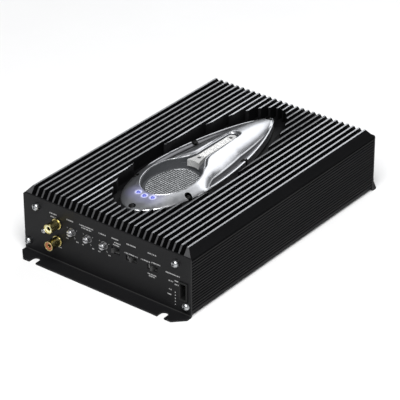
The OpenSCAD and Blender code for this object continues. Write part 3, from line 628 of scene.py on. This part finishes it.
def badge_skin(x, y):
    """Height of the casting: the dome, the flute at its foot and the lip along the edge."""
    half = max(badge_half(y), 0.01 * MM)
    flute = (flute_widest * ease((y - flute_start) / flute_opens_over) *
             min(1, max(0, (badge_high.y - y) / flute_closes_over)))
    depth = min(1, flute / (3 * MM))
    foot = max(half - flute, 0.01 * MM)
    across = min(1, abs(x) / foot)
    fullness = 5 - 2.2 * ease((y + 24 * MM) / (26 * MM))
    dome = (crown(y) - rim_height) * (1 - across ** fullness)
    inward = half - abs(x)
    lip = lip_height * ease((lip_width - inward) / (1.2 * MM))
    hollow = flute_depth * sin(pi * min(1, max(0, (inward - 2 * MM) / max(flute - 2 * MM, 0.01 * MM))))
    rolled = edge_drop * max(0, 1 - inward / edge_radius) ** 2
    return rim_height + dome + (lip - hollow) * depth - rolled * (0.4 + 0.6 * depth)


def edge_roll(place, edge):
    """How far the casting rolls down towards the slot's edge."""
    near = max(0, 1 - (place - edge).length / (3.4 * MM))
    return 1.5 * MM * near ** 2 * ease((edge.y + 27 * MM) / (16 * MM))


cast = Finish("polished_casting")
flow = cast.grain(0.012, 2)
swirl = cast.grain(0.006, 1)
lamp_places = [(-7.4 * MM, -76.2 * MM), (0, -77.6 * MM), (7.4 * MM, -76.2 * MM)]
in_plan = cast.node("ShaderNodeCombineXYZ", None, {"X": cast.x, "Y": cast.y})


def nearest_of(places):
    """Distance in plan from the nearest of the places."""
    closest = None
    for x, y in places:
        away = cast.node("ShaderNodeVectorMath", {"operation": "DISTANCE"},
                         {0: in_plan, 1: (x, y, 0)}, "Value")
        closest = away if closest is None else closest.at_most(away)
    return closest


screw_places = [((low.x + high.x) / 2, (low.y + high.y) / 2) for low, high in solids("badge_screws")]
# Painted glow: the casting emits a lavender ring and a fainter wash round each lamp hole, standing in for
# the lamps' light falling on it.
from_lamp = nearest_of(lamp_places)
painted_ring_glow = cast.span(from_lamp, 2.1 * MM, 3.9 * MM, 1.0, 0.0)
painted_wash_glow = cast.span(from_lamp, 2.5 * MM, 14 * MM, 1.0, 0.0)
past_waist = ((cast.y - badge_waist) / badge_back).at_least(0)
taper = (1 - past_waist ** 1.8).at_least(0)
inward = taper ** 0.75 * badge_half_width - abs(cast.x)
flute_width = (cast.span(cast.y, flute_start, flute_start + flute_opens_over) *
               ((badge_high.y - cast.y) / flute_closes_over).at_most(1)) * flute_widest
# Painted shade in the flutes: the base colour darkens across each flute from the lip inward, standing in
# for the shade in the hollow.
into_flute = (cast.span(inward, 1.4 * MM, 2.1 * MM) *
              cast.span(inward - flute_width, -0.9 * MM, 0.4 * MM, 1.0, 0.0))
shaded = cast.span(inward / (flute_width + 0.1 * MM), 0.2, 0.8)
flute_painted_shade = cast.blend(shaded, shade(0.24, 0.24, 0.25), shade(0.022, 0.022, 0.024))
polish = cast.blend(flow, shade(0.70, 0.71, 0.73), shade(0.80, 0.81, 0.83))
# Painted shade: the foot of the casting and the screw wells round the heads are made near black.
skirt = cast.z < badge_low.z + 1.6 * MM
shaded_foot_and_wells = skirt.at_least(nearest_of(screw_places) < 3.1 * MM)
polished_or_dark = cast.blend(into_flute, polish, flute_painted_shade)
cast.wear(Base_Color=cast.blend(shaded_foot_and_wells, polished_or_dark, shade(0.012)), Metallic=1.0,
          Roughness=cast.span(swirl, 0.3, 0.7, 0.28, 0.33),
          Emission_Color=cast.blend(painted_ring_glow, cast.blend(painted_wash_glow, shade(0), shade(0.10, 0.10, 0.20)),
                                    shade(0.62, 0.64, 0.98)),
          Emission_Strength=1.0, Normal=cast.relief(flow, 0.000003))

turns = 256
steps_out = 44
angles = [(i + 0.5) * 2 * pi / turns for i in range(turns)]
shares = [1 - (1 - k / steps_out) ** 1.35 for k in range(steps_out + 1)]
badge_work = bmesh.new()
badge_rows = []
inner_edge = [outline(opening_half, grille_at - grille_half[1], slot_end, a) for a in angles]
outer_edge = [outline(badge_half, badge_low.y, badge_high.y, a) for a in angles]
for share in shares:
    row = [inner.lerp(outer, share) for inner, outer in zip(inner_edge, outer_edge)]
    badge_rows.append([badge_work.verts.new((p.x, p.y, badge_skin(p.x, p.y) - edge_roll(p, inner)))
                       for p, inner in zip(row, inner_edge)])
for edge in (outer_edge, inner_edge):
    badge_rows.append([badge_work.verts.new((p.x, p.y, badge_low.z)) for p in edge])
for lower, upper in zip(badge_rows, badge_rows[1:] + badge_rows[:1]):
    for i in range(turns):
        j = (i + 1) % turns
        badge_work.faces.new((lower[i], upper[i], upper[j], lower[j]))
bmesh.ops.recalc_face_normals(badge_work, faces=badge_work.faces)
badge = to_object("badge_cover.cast", badge_work, cast)
above = 20 * MM
well_floor, well_radius, shank_hole, lamp_hole = 7.4 * MM, 3.0 * MM, 1.3 * MM, 2.12 * MM
screw_well = [(0, 0), (shank_hole, 0), (shank_hole, well_floor), (well_radius - 0.3 * MM, well_floor),
              (well_radius, well_floor + 0.3 * MM), (well_radius, above), (0, above)]
lamp_bore = [(0, 0), (lamp_hole, 0), (lamp_hole, above), (0, above)]
for profile, steps, below, places in ((screw_well, 40, 0.1 * MM, screw_places),
                                      (lamp_bore, 32, MM, lamp_places)):
    for x, y in places:
        tool = to_object("tool", turned(profile, steps), cast)
        tool.data.transform(Matrix.Translation((x, y, badge_low.z - below)))
        cut(badge, tool)
badge.data.shade_smooth()
badge.data.set_sharp_from_angle(angle=radians(32))
stands_for(badge, "badge_cover")


def swept(name, finish, path, radius, sides=10):
    """A round bead that follows the path's points and closes on itself."""
    line = bpy.data.meshes.new(name + ".path")
    line.from_pydata(path, [(i, (i + 1) % len(path)) for i in range(len(path))], [])
    tree = Layout(name, Radius=radius, Sides=sides)
    curve = tree.node("GeometryNodeMeshToCurve", None, {"Mesh": tree.size("Geometry")})
    ring = tree.node("GeometryNodeCurvePrimitiveCircle", {"mode": "RADIUS"},
                     {"Resolution": tree.size("Sides"), "Radius": tree.size("Radius")})
    tube = tree.node("GeometryNodeCurveToMesh", None,
                     {"Curve": curve, "Profile Curve": ring, "Fill Caps": True})
    return tree.run(name, tree.node("GeometryNodeSetShadeSmooth", None, {"Geometry": tube}), finish, line)


bead = 0.5 * MM
bead_path = [(p.x, p.y, badge_skin(p.x, p.y) - edge_roll(p, p) - 0.15 * MM) for p in inner_edge]
bead_ring = swept("opening_bead", cast, bead_path, bead)
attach(bead_ring, "amplifier")


# ---- Tray, grille and backing ----
# A dark moulded tray lines the opening. Its oval cup holds a disc of fine woven wire,
# which a thin bright ring clips down.

moulded = Finish("dark_moulding")
texture = moulded.grain(0.0004, 2)
tray_grey = moulded.blend(moulded.grain(0.01), shade(0.045, 0.048, 0.052), shade(0.06, 0.063, 0.068))
moulded.wear(Base_Color=tray_grey, Roughness=moulded.span(texture, 0.3, 0.7, 0.38, 0.5),
             Normal=moulded.relief(texture, 0.00002))
fettled("inset_tray", moulded, 0.12 * MM)

grille_low, grille_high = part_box("grille_mesh")
grille_middle = (grille_low + grille_high) / 2
weave_half = (grille_high - grille_low) / 2 - Vector((0.3 * MM, 0.3 * MM, 0))
wire_metal = Finish("woven_wire")
tarnish = wire_metal.grain(0.004, 2)
wire_metal.wear(Base_Color=wire_metal.blend(tarnish, shade(0.32, 0.33, 0.34), shade(0.46, 0.47, 0.48)),
                Metallic=0.85, Roughness=wire_metal.span(tarnish, 0.3, 0.7, 0.34, 0.46),
                Normal=wire_metal.relief(wire_metal.grain(0.0002), 0.000005))


def woven_half(name, turn):
    """One of the cloth's two sets of wires, which dip over and under the other set."""
    tree = Layout(name, Pitch=1.7 * MM, Wires=38, Wire=0.24 * MM, Wave=0.24 * MM, Across=weave_half.x,
                  Along=weave_half.y)
    pitch, wires = tree.size("Pitch"), tree.size("Wires")
    reach = pitch * wires / 2
    start = tree.node("ShaderNodeCombineXYZ", None, {"X": reach * -1})
    end = tree.node("ShaderNodeCombineXYZ", None, {"X": reach})
    line = tree.node("GeometryNodeCurvePrimitiveLine", None, {"Start": start, "End": end})
    fine = tree.node("GeometryNodeResampleCurve", None, {"Curve": line, "Count": wires * 6 + 1})
    first = tree.node("ShaderNodeCombineXYZ", None, {"Y": reach * -1})
    step = tree.node("ShaderNodeCombineXYZ", None, {"Y": pitch})
    rows = tree.node("GeometryNodeMeshLine", None,
                     {"Count": wires + 1, "Start Location": first, "Offset": step})
    laid = tree.node("GeometryNodeInstanceOnPoints", None, {"Points": rows, "Instance": fine})
    loose = tree.node("GeometryNodeRealizeInstances", None, {"Geometry": laid})
    place = tree.node("ShaderNodeSeparateXYZ", None, {"Vector": tree.node("GeometryNodeInputPosition")})
    row = (place.other("Y") / pitch).math("ROUND")
    dip = (place / pitch + row) * pi
    lift = tree.node("ShaderNodeCombineXYZ", None, {"Z": dip.math("SINE") * tree.size("Wave")})
    wavy = tree.node("GeometryNodeSetPosition", None, {"Geometry": loose, "Offset": lift})
    turned_round = tree.node("GeometryNodeTransform", None,
                             {"Geometry": wavy, "Rotation": (0, 0, radians(turn))})
    spot = tree.node("ShaderNodeSeparateXYZ", None, {"Vector": tree.node("GeometryNodeInputPosition")})
    across, along = spot / tree.size("Across"), spot.other("Y") / tree.size("Along")
    outside = (across * across + along * along) > 1
    trimmed = tree.node("GeometryNodeDeleteGeometry", {"domain": "POINT"},
                        {"Geometry": turned_round, "Selection": outside})
    ring = tree.node("GeometryNodeCurvePrimitiveCircle", {"mode": "RADIUS"},
                     {"Resolution": 5, "Radius": tree.size("Wire")})
    tube = tree.node("GeometryNodeCurveToMesh", None,
                     {"Curve": trimmed, "Profile Curve": ring, "Fill Caps": True})
    smooth = tree.node("GeometryNodeSetShadeSmooth", None, {"Geometry": tube})
    piece = tree.run(name, smooth, wire_metal)
    piece.data.transform(Matrix.Translation(grille_middle))
    return piece


warp = woven_half("grille_mesh.warp", 38)
weft = woven_half("grille_mesh.weft", 128)
stands_for(warp, "grille_mesh")
stands_for(weft, "grille_mesh")
clip_path = [(weave_half.x * cos(a), grille_middle.y + weave_half.y * sin(a), grille_high.z)
             for a in (2 * pi * i / 120 for i in range(120))]
clip = swept("grille_clip_ring", zinc, clip_path, 0.35 * MM, 8)
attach(clip, "amplifier")


# ---- Spine bar ----
# A satin stainless bar lies in the slot and turns down into the cup at its broad end.
# Its top is knurled between the two black screws.

bar_metal = Finish("satin_bar")
brush = bar_metal.grain(0.0006, 1, (1, 0.05, 1))
brushed = bar_metal.blend(brush, shade(0.52, 0.52, 0.515), shade(0.72, 0.72, 0.71))
bar_metal.wear(Base_Color=brushed, Metallic=0.4,
               Roughness=bar_metal.span(brush, 0.3, 0.7, 0.26, 0.38),
               Normal=bar_metal.relief(brush, 0.00001))
fettled("spine_bar", bar_metal, 0.25 * MM, 3)
bar_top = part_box("spine_bar")[1].z
stud_pitch = 1.15 * MM
knurl_start = -1.8 * MM
row_pitch = stud_pitch * 0.86
stud_places = [Vector(((column + (row % 2) / 2) * stud_pitch, knurl_start + row * row_pitch, bar_top))
               for row in range(39) for column in range(-2 - row % 2, 3)]
stud = turned([(0, -0.1 * MM), (0.5 * MM, -0.1 * MM), (0.42 * MM, 0.12 * MM), (0.2 * MM, 0.28 * MM),
               (0, 0.3 * MM)], 4)
stud_object = to_object("stud", stud, bar_metal, 20)
knurl = spread("spine_bar.knurl", stud_object, [(place, (0, 0, 1)) for place in stud_places], bar_metal)
bpy.data.objects.remove(stud_object)
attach(knurl, "amplifier")


# ---- Indicators ----
# Three blue epoxy lamps stand on their own small board under the badge.
# Their domed tops stand in plain holes in the casting; the tint of their light round each hole is a glow
# painted onto the casting.

blue = Finish("lit_blue_epoxy")
core = blue.grain(0.0015, 1)
blue.wear(Base_Color=blue.blend(core, shade(0.05, 0.06, 0.30), shade(0.08, 0.10, 0.38)),
          Roughness=blue.span(core, 0.3, 0.7, 0.12, 0.22),
          Emission_Color=blue.blend(core, shade(0.08, 0.085, 0.26), shade(0.11, 0.12, 0.33)),
          Emission_Strength=0.9, Normal=blue.relief(core, 0.00002))
lens_radius, stem = 2 * MM, 8 * MM
lens_dome = [(lens_radius * cos(a), stem + lens_radius * sin(a)) for a in map(radians, range(10, 90, 10))]
lens = turned([(0, 0), (lens_radius, 0), (lens_radius, stem)] + lens_dome + [(0, stem + lens_radius)], 32)
lens_object = to_object("lens", lens, blue)
lens_seats = [(Vector(((low.x + high.x) / 2, (low.y + high.y) / 2, low.z)), (0, 0, 1))
              for low, high in solids("indicator_leds")]
lamps = spread("indicator_leds.detailed", lens_object, lens_seats, blue)
bpy.data.objects.remove(lens_object)
stands_for(lamps, "indicator_leds")


# ---- Phono jacks ----
# Two gold plated sleeves are pressed over coloured insulators in a moulded block behind the panel.
# A split contact in each takes the plug's pin.

gold = Finish("gold_plate")
wash = gold.grain(0.003, 2)
gold.wear(Base_Color=gold.blend(wash, shade(0.50, 0.42, 0.16), shade(0.64, 0.56, 0.27)), Metallic=1.0,
          Roughness=gold.span(wash, 0.3, 0.7, 0.18, 0.30), Normal=gold.relief(wash, 0.00001))


def plastic(name, light, dark, grain_size=0.002, gloss=0.38):
    """A moulded plastic whose colour and gloss drift a little."""
    made = Finish(name)
    drift = made.grain(grain_size, 2)
    made.wear(Base_Color=made.blend(drift, dark, light),
              Roughness=made.span(drift, 0.3, 0.7, gloss, gloss + 0.1),
              Normal=made.relief(made.grain(0.0003), 0.00001))
    return made


ivory = plastic("ivory_insulator", shade(0.84, 0.83, 0.56), shade(0.76, 0.75, 0.48))
scarlet = plastic("red_insulator", shade(0.40, 0.12, 0.05), shade(0.30, 0.085, 0.04))
jet = plastic("black_moulding", shade(0.0085), shade(0.0055), 0.01, 0.42).wear(Specular_IOR_Level=0.2)
fettled("jack_sleeves", gold, 0.18 * MM, 3)
fettled("jack_contacts", gold, 0.1 * MM)
fettled("jack_insulator_white", ivory, 0.15 * MM)
fettled("jack_insulator_red", scarlet, 0.15 * MM)
fettled("jack_block", jet, 0.3 * MM)


# ---- Rotary controls and slide switches ----
# Splined, slotted steel shafts turn in steel cans on a board behind the panel.
# Black ridged levers slide in their slots in front of tin plated switch cases.

satin_steel = Finish("satin_steel")
turning = satin_steel.grain(0.0005, 2, (1, 0.2, 1))
satin_steel.wear(Base_Color=satin_steel.blend(turning, shade(0.36, 0.36, 0.37), shade(0.50, 0.50, 0.51)),
                 Metallic=1.0, Roughness=satin_steel.span(turning, 0.3, 0.7, 0.26, 0.40),
                 Normal=satin_steel.relief(turning, 0.00001))
tin = Finish("tin_plate")
dull = tin.grain(0.002, 3)
tin.wear(Base_Color=tin.blend(dull, shade(0.22), shade(0.32)), Metallic=0.9,
         Roughness=tin.span(dull, 0.3, 0.7, 0.35, 0.5), Normal=tin.relief(dull, 0.00001))
lever_plastic = plastic("lever_plastic", shade(0.045), shade(0.03), 0.001, 0.4)
for shaft in ("gain_shaft", "boost_shaft", "frequency_shaft"):
    fettled(shaft, satin_steel, 0.08 * MM)
for lever in ("range_switch_lever", "filter_switch_lever", "source_switch_lever"):
    fettled(lever, lever_plastic, 0.08 * MM)
fettled("control_bodies", tin, 0.15 * MM)
fettled("switch_bodies", tin, 0.15 * MM)


# ---- Input socket ----
# A black moulded shroud stands in a cutout of the panel, with a thin bezel outside.
# It guards a row of four gold plated pins.

fettled("input_socket", jet, 0.15 * MM)
fettled("input_socket_pins", gold, 0.12 * MM)


# ---- Printed legends ----
# Pale screen print on both panels: generic dashes for words, and dial ticks round the controls.
# Each mark is a very thin film of ink on the powder coat.

ink = Finish("pale_ink")
fade = ink.grain(0.001, 2)
ink.wear(Base_Color=ink.blend(fade, shade(0.30), shade(0.46)), Roughness=ink.span(fade, 0.3, 0.7, 0.5, 0.7),
         Normal=ink.relief(fade, 0.000005))
film = 0.04 * MM


def printed(name, marks, face, outward):
    """Marks on a panel at y = face: (x, z, width, height, turn in degrees) each."""
    corner = 0.22
    chip = bmesh.new()
    half = [(0.5, 0.5 - corner), (0.5 - corner, 0.5), (corner - 0.5, 0.5), (-0.5, 0.5 - corner)]
    outline_points = half + [(-u, -v) for u, v in half]
    lower = [chip.verts.new((u, -0.5, v)) for u, v in outline_points]
    upper = [chip.verts.new((u, 0.5, v)) for u, v in outline_points]
    chip.faces.new(lower)
    chip.faces.new(list(reversed(upper)))
    for i in range(8):
        chip.faces.new((lower[i], upper[i], upper[(i + 1) % 8], lower[(i + 1) % 8]))
    bmesh.ops.recalc_face_normals(chip, faces=chip.faces)
    stamp = to_object(name + ".stamp", chip, ink, 20)
    points = bpy.data.meshes.new(name + ".points")
    points.from_pydata([(x, face + outward * film / 2, z) for x, z, *_ in marks], [], [])
    for key, values in (("size", [(w, film, h) for x, z, w, h, turn in marks]),
                        ("turn", [(0, radians(turn), 0) for x, z, w, h, turn in marks])):
        layer = points.attributes.new(key, "FLOAT_VECTOR", "POINT")
        for item, value in zip(layer.data, values):
            item.vector = value
    tree = Layout(name)
    named = [tree.node("GeometryNodeInputNamedAttribute", {"data_type": "FLOAT_VECTOR"}, {"Name": key},
                       "Attribute") for key in ("size", "turn")]
    placed = {"Points": tree.size("Geometry"), "Scale": named[0],
              "Instance": tree.node("GeometryNodeObjectInfo", None, {"Object": stamp}, "Geometry"),
              "Rotation": tree.node("FunctionNodeEulerToRotation", None, {"Euler": named[1]})}
    piece = tree.run(name, tree.node("GeometryNodeInstanceOnPoints", None, placed), ink, points)
    bpy.data.objects.remove(stamp)
    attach(piece, "amplifier")


def dashes(x0, x1, z, height=1.15):
    """A row of short strokes of uneven widths between x0 and x1, all in millimetres."""
    row, x = [], x0
    while x < x1 - 0.3:
        width = min(x1 - x, pen.choice((0.45, 0.6, 0.75, 0.95)))
        row.append(((x + width / 2) * MM, z * MM, width * MM, height * MM, 0))
        x += width + pen.choice((0.22, 0.22, 0.3, 0.7))
    return row


pen = Random(11)
# Each row of dashes: where it starts, where it ends and how high it stands, in millimetres.
legend_rows = [
    (-58.7, -51.2, 44.9), (-57.6, -50.7, 41.9), (-40.4, -33.0, 45.0), (-26.8, -11.9, 45.1),
    (-24.6, -14.2, 43.1), (-6.5, 0.8, 44.6), (7.0, 14.0, 45.0), (9.6, 16.6, 41.7),
    (8.4, 14.6, 39.5), (22.4, 31.8, 45.0), (20.4, 33.7, 36.4), (44.1, 52.7, 44.9),
    (37.0, 46.4, 36.6), (47.9, 56.8, 37.4), (43.7, 52.7, 25.9), (45.0, 51.4, 24.1),
    (62.1, 76.6, 34.2), (65.0, 69.3, 27.4), (71.0, 75.0, 29.2), (71.0, 75.0, 26.0),
    (65.2, 68.6, 19.6), (63.8, 67.4, 14.8), (-54.6, -47.0, 15.6)]
marks = [mark for x0, x1, z in legend_rows for mark in dashes(x0, x1, z)]
marks += [(71.5 * MM, z * MM, 0.9 * MM, 0.9 * MM, 0) for z in (7.4, 10.2, 13.0, 15.8, 18.6)]
dial_radius = 5.6 * MM
for control in ("gain_shaft", "boost_shaft", "frequency_shaft"):
    low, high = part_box(control)
    dial_x, dial_z = (low.x + high.x) / 2, (low.z + high.z) / 2
    for turn in (-150, -105, -60, 60, 150):
        length = (1.8 if abs(turn) == 150 else 1.1) * MM
        marks.append((dial_x + dial_radius * sin(radians(turn)), dial_z + dial_radius * cos(radians(turn)),
                      0.35 * MM, length, turn))
    for side in (-1, 1):
        end_x = dial_x / MM + side * 5.4
        marks += dashes(end_x - 1.2, end_x + 1.2, dial_z / MM - 7.6, 1.0)
front_face = -128 * MM  # outer face of the front panel
printed("front_legends", marks, front_face, -1)

rear_marks = []
for node, z in (("power_terminals", 39.5), ("speaker_terminals", 38.5)):
    for k, (low, high) in enumerate(solids(node)):
        middle = (low.x + high.x) / 2
        if node == "power_terminals":
            rear_marks += dashes(middle / MM - 3.4, middle / MM + 3.4, z)
        else:
            rear_marks.append((middle, z * MM, 1.8 * MM, 0.45 * MM, 0))
            if k % 2 == 0:
                rear_marks.append((middle, z * MM, 0.45 * MM, 1.8 * MM, 0))
fuse_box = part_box("fuse_holder")
rear_marks += dashes(fuse_box[0].x / MM + 9, fuse_box[0].x / MM + 19, 41.5)
rear_marks += dashes(-60, -18, 11.2) + dashes(26, 60, 12.2)
printed("rear_legends", rear_marks, -front_face, 1)


# ---- Rear terminals ----
# Moulded housings carry nickel plated blocks, bored for cable and tapped for clamping screws.
# The screws are backed out far enough to admit a cable.

nickel = Finish("nickel_plate")
haze = nickel.grain(0.003, 2)
nickel.wear(Base_Color=nickel.blend(haze, shade(0.58, 0.55, 0.48), shade(0.70, 0.67, 0.60)), Metallic=1.0,
            Roughness=nickel.span(haze, 0.3, 0.7, 0.22, 0.34), Normal=nickel.relief(haze, 0.00001))
fettled("power_terminal_housing", jet, 0.35 * MM, 3)
fettled("speaker_terminal_housing", jet, 0.35 * MM, 3)
fettled("power_terminals", nickel, 0.2 * MM)
fettled("speaker_terminals", nickel, 0.15 * MM)
fettled("power_terminal_screws", satin_steel, 0.12 * MM)
fettled("speaker_terminal_screws", satin_steel, 0.12 * MM)


# ---- Blade fuses ----
# Each fuse is a translucent amber body moulded round two zinc blades.
# The blades push into sprung clips in a moulded holder.

amber = Finish("amber_plastic")
streak = amber.grain(0.003, 2)
amber.wear(Base_Color=amber.blend(streak, shade(0.62, 0.33, 0.03), shade(0.75, 0.45, 0.06)),
           Transmission_Weight=0.35, Roughness=amber.span(streak, 0.3, 0.7, 0.16, 0.28),
           Normal=amber.relief(streak, 0.00001))
fettled("fuse_holder", jet, 0.35 * MM, 3)
fettled("fuse_clips", nickel, 0.1 * MM)
for side in ("left", "right"):
    fettled(side + "_fuse_body", amber, 0.3 * MM, 3)
    fettled(side + "_fuse_blades", zinc, 0.08 * MM)


# ---- Boards ----
# Glass epoxy sheet with green solder mask, and copper tracks that show through it as paler lines.
# Moulded pin strips and hexagonal standoffs join the boards to each other and to the floor.

mask = Finish("solder_mask")
track_pitch = 2.54 * MM
weave = mask.grain(0.0012, 2)
wander = mask.grain(0.02) * (6 * MM)
lane = (mask.x + wander).math("PINGPONG", track_pitch)
cross_lane = (mask.y + mask.z + wander).math("PINGPONG", track_pitch)
tracks = (lane < 0.5 * MM).at_least((cross_lane < 0.4 * MM) * (mask.grain(0.012) > 0.5))
bare_board = mask.blend(weave, shade(0.010, 0.062, 0.024), shade(0.014, 0.082, 0.032))
mask.wear(Base_Color=mask.blend(tracks, bare_board, shade(0.030, 0.150, 0.060)),
          Roughness=mask.span(weave, 0.3, 0.7, 0.28, 0.4), Normal=mask.relief(tracks, 0.00002))
for node in ("main_board", "control_board", "led_board"):
    fettled(node, mask, 0.1 * MM)
fettled("board_standoffs", nickel, 0.15 * MM)
fettled("board_link", jet, 0.2 * MM)


# ---- Power parts ----
# Wound ring core, sleeved capacitors, transistors clamped to the walls over soft pads,
# ring chokes, resistors and chips stand on the main board.

copper = Finish("enamelled_copper")
lacquer = copper.grain(0.002, 2)
copper.wear(Base_Color=copper.blend(lacquer, shade(0.45, 0.16, 0.06), shade(0.60, 0.25, 0.10)),
            Metallic=0.8, Coat_Weight=0.6, Roughness=copper.span(lacquer, 0.3, 0.7, 0.25, 0.36),
            Normal=copper.relief(lacquer, 0.00001))
ferrite = plastic("painted_ferrite", shade(0.24, 0.26, 0.10), shade(0.19, 0.21, 0.08), 0.003, 0.5)
pad = plastic("silicone_pad", shade(0.52, 0.54, 0.56), shade(0.45, 0.47, 0.50), 0.004, 0.6)
chip = plastic("chip_epoxy", shade(0.020), shade(0.014), 0.001, 0.5)
sleeve = Finish("capacitor_sleeve")
sheen = sleeve.grain(0.003, 2)
can_top = sleeve.z > 37.5 * MM
sleeve_blue = sleeve.blend(sheen, shade(0.012, 0.020, 0.10), shade(0.02, 0.03, 0.14))
sleeve.wear(Base_Color=sleeve.blend(can_top, sleeve_blue, shade(0.6)), Metallic=can_top * 0.9,
            Roughness=sleeve.span(sheen, 0.3, 0.7, 0.25, 0.36), Normal=sleeve.relief(sheen, 0.00001))
banded = Finish("banded_resistor")
body_glaze = banded.grain(0.002, 2)
along = abs(banded.x) - 64 * MM
half_band = 0.4 * MM
band = (abs(abs(along) - 1.6 * MM) < half_band).at_least(abs(along + 3.6 * MM) < half_band)
glazed = banded.blend(body_glaze, shade(0.50, 0.40, 0.24), shade(0.58, 0.48, 0.30))
banded.wear(Base_Color=banded.blend(band, glazed, shade(0.16, 0.04, 0.02)),
            Roughness=banded.span(body_glaze, 0.3, 0.7, 0.35, 0.45),
            Normal=banded.relief(body_glaze, 0.00001))
for node, finish, edge in (("transformer_core", ferrite, 0.4), ("transformer_winding", copper, 0.2),
                           ("filter_capacitors", sleeve, 0.4), ("output_transistors", chip, 0.15),
                           ("transistor_pads", pad, 0.05), ("transistor_clamps", satin_steel, 0.2),
                           ("output_inductors", copper, 0.1), ("power_resistors", banded, 0.4),
                           ("control_chips", chip, 0.25)):
    fettled(node, finish, edge * MM)
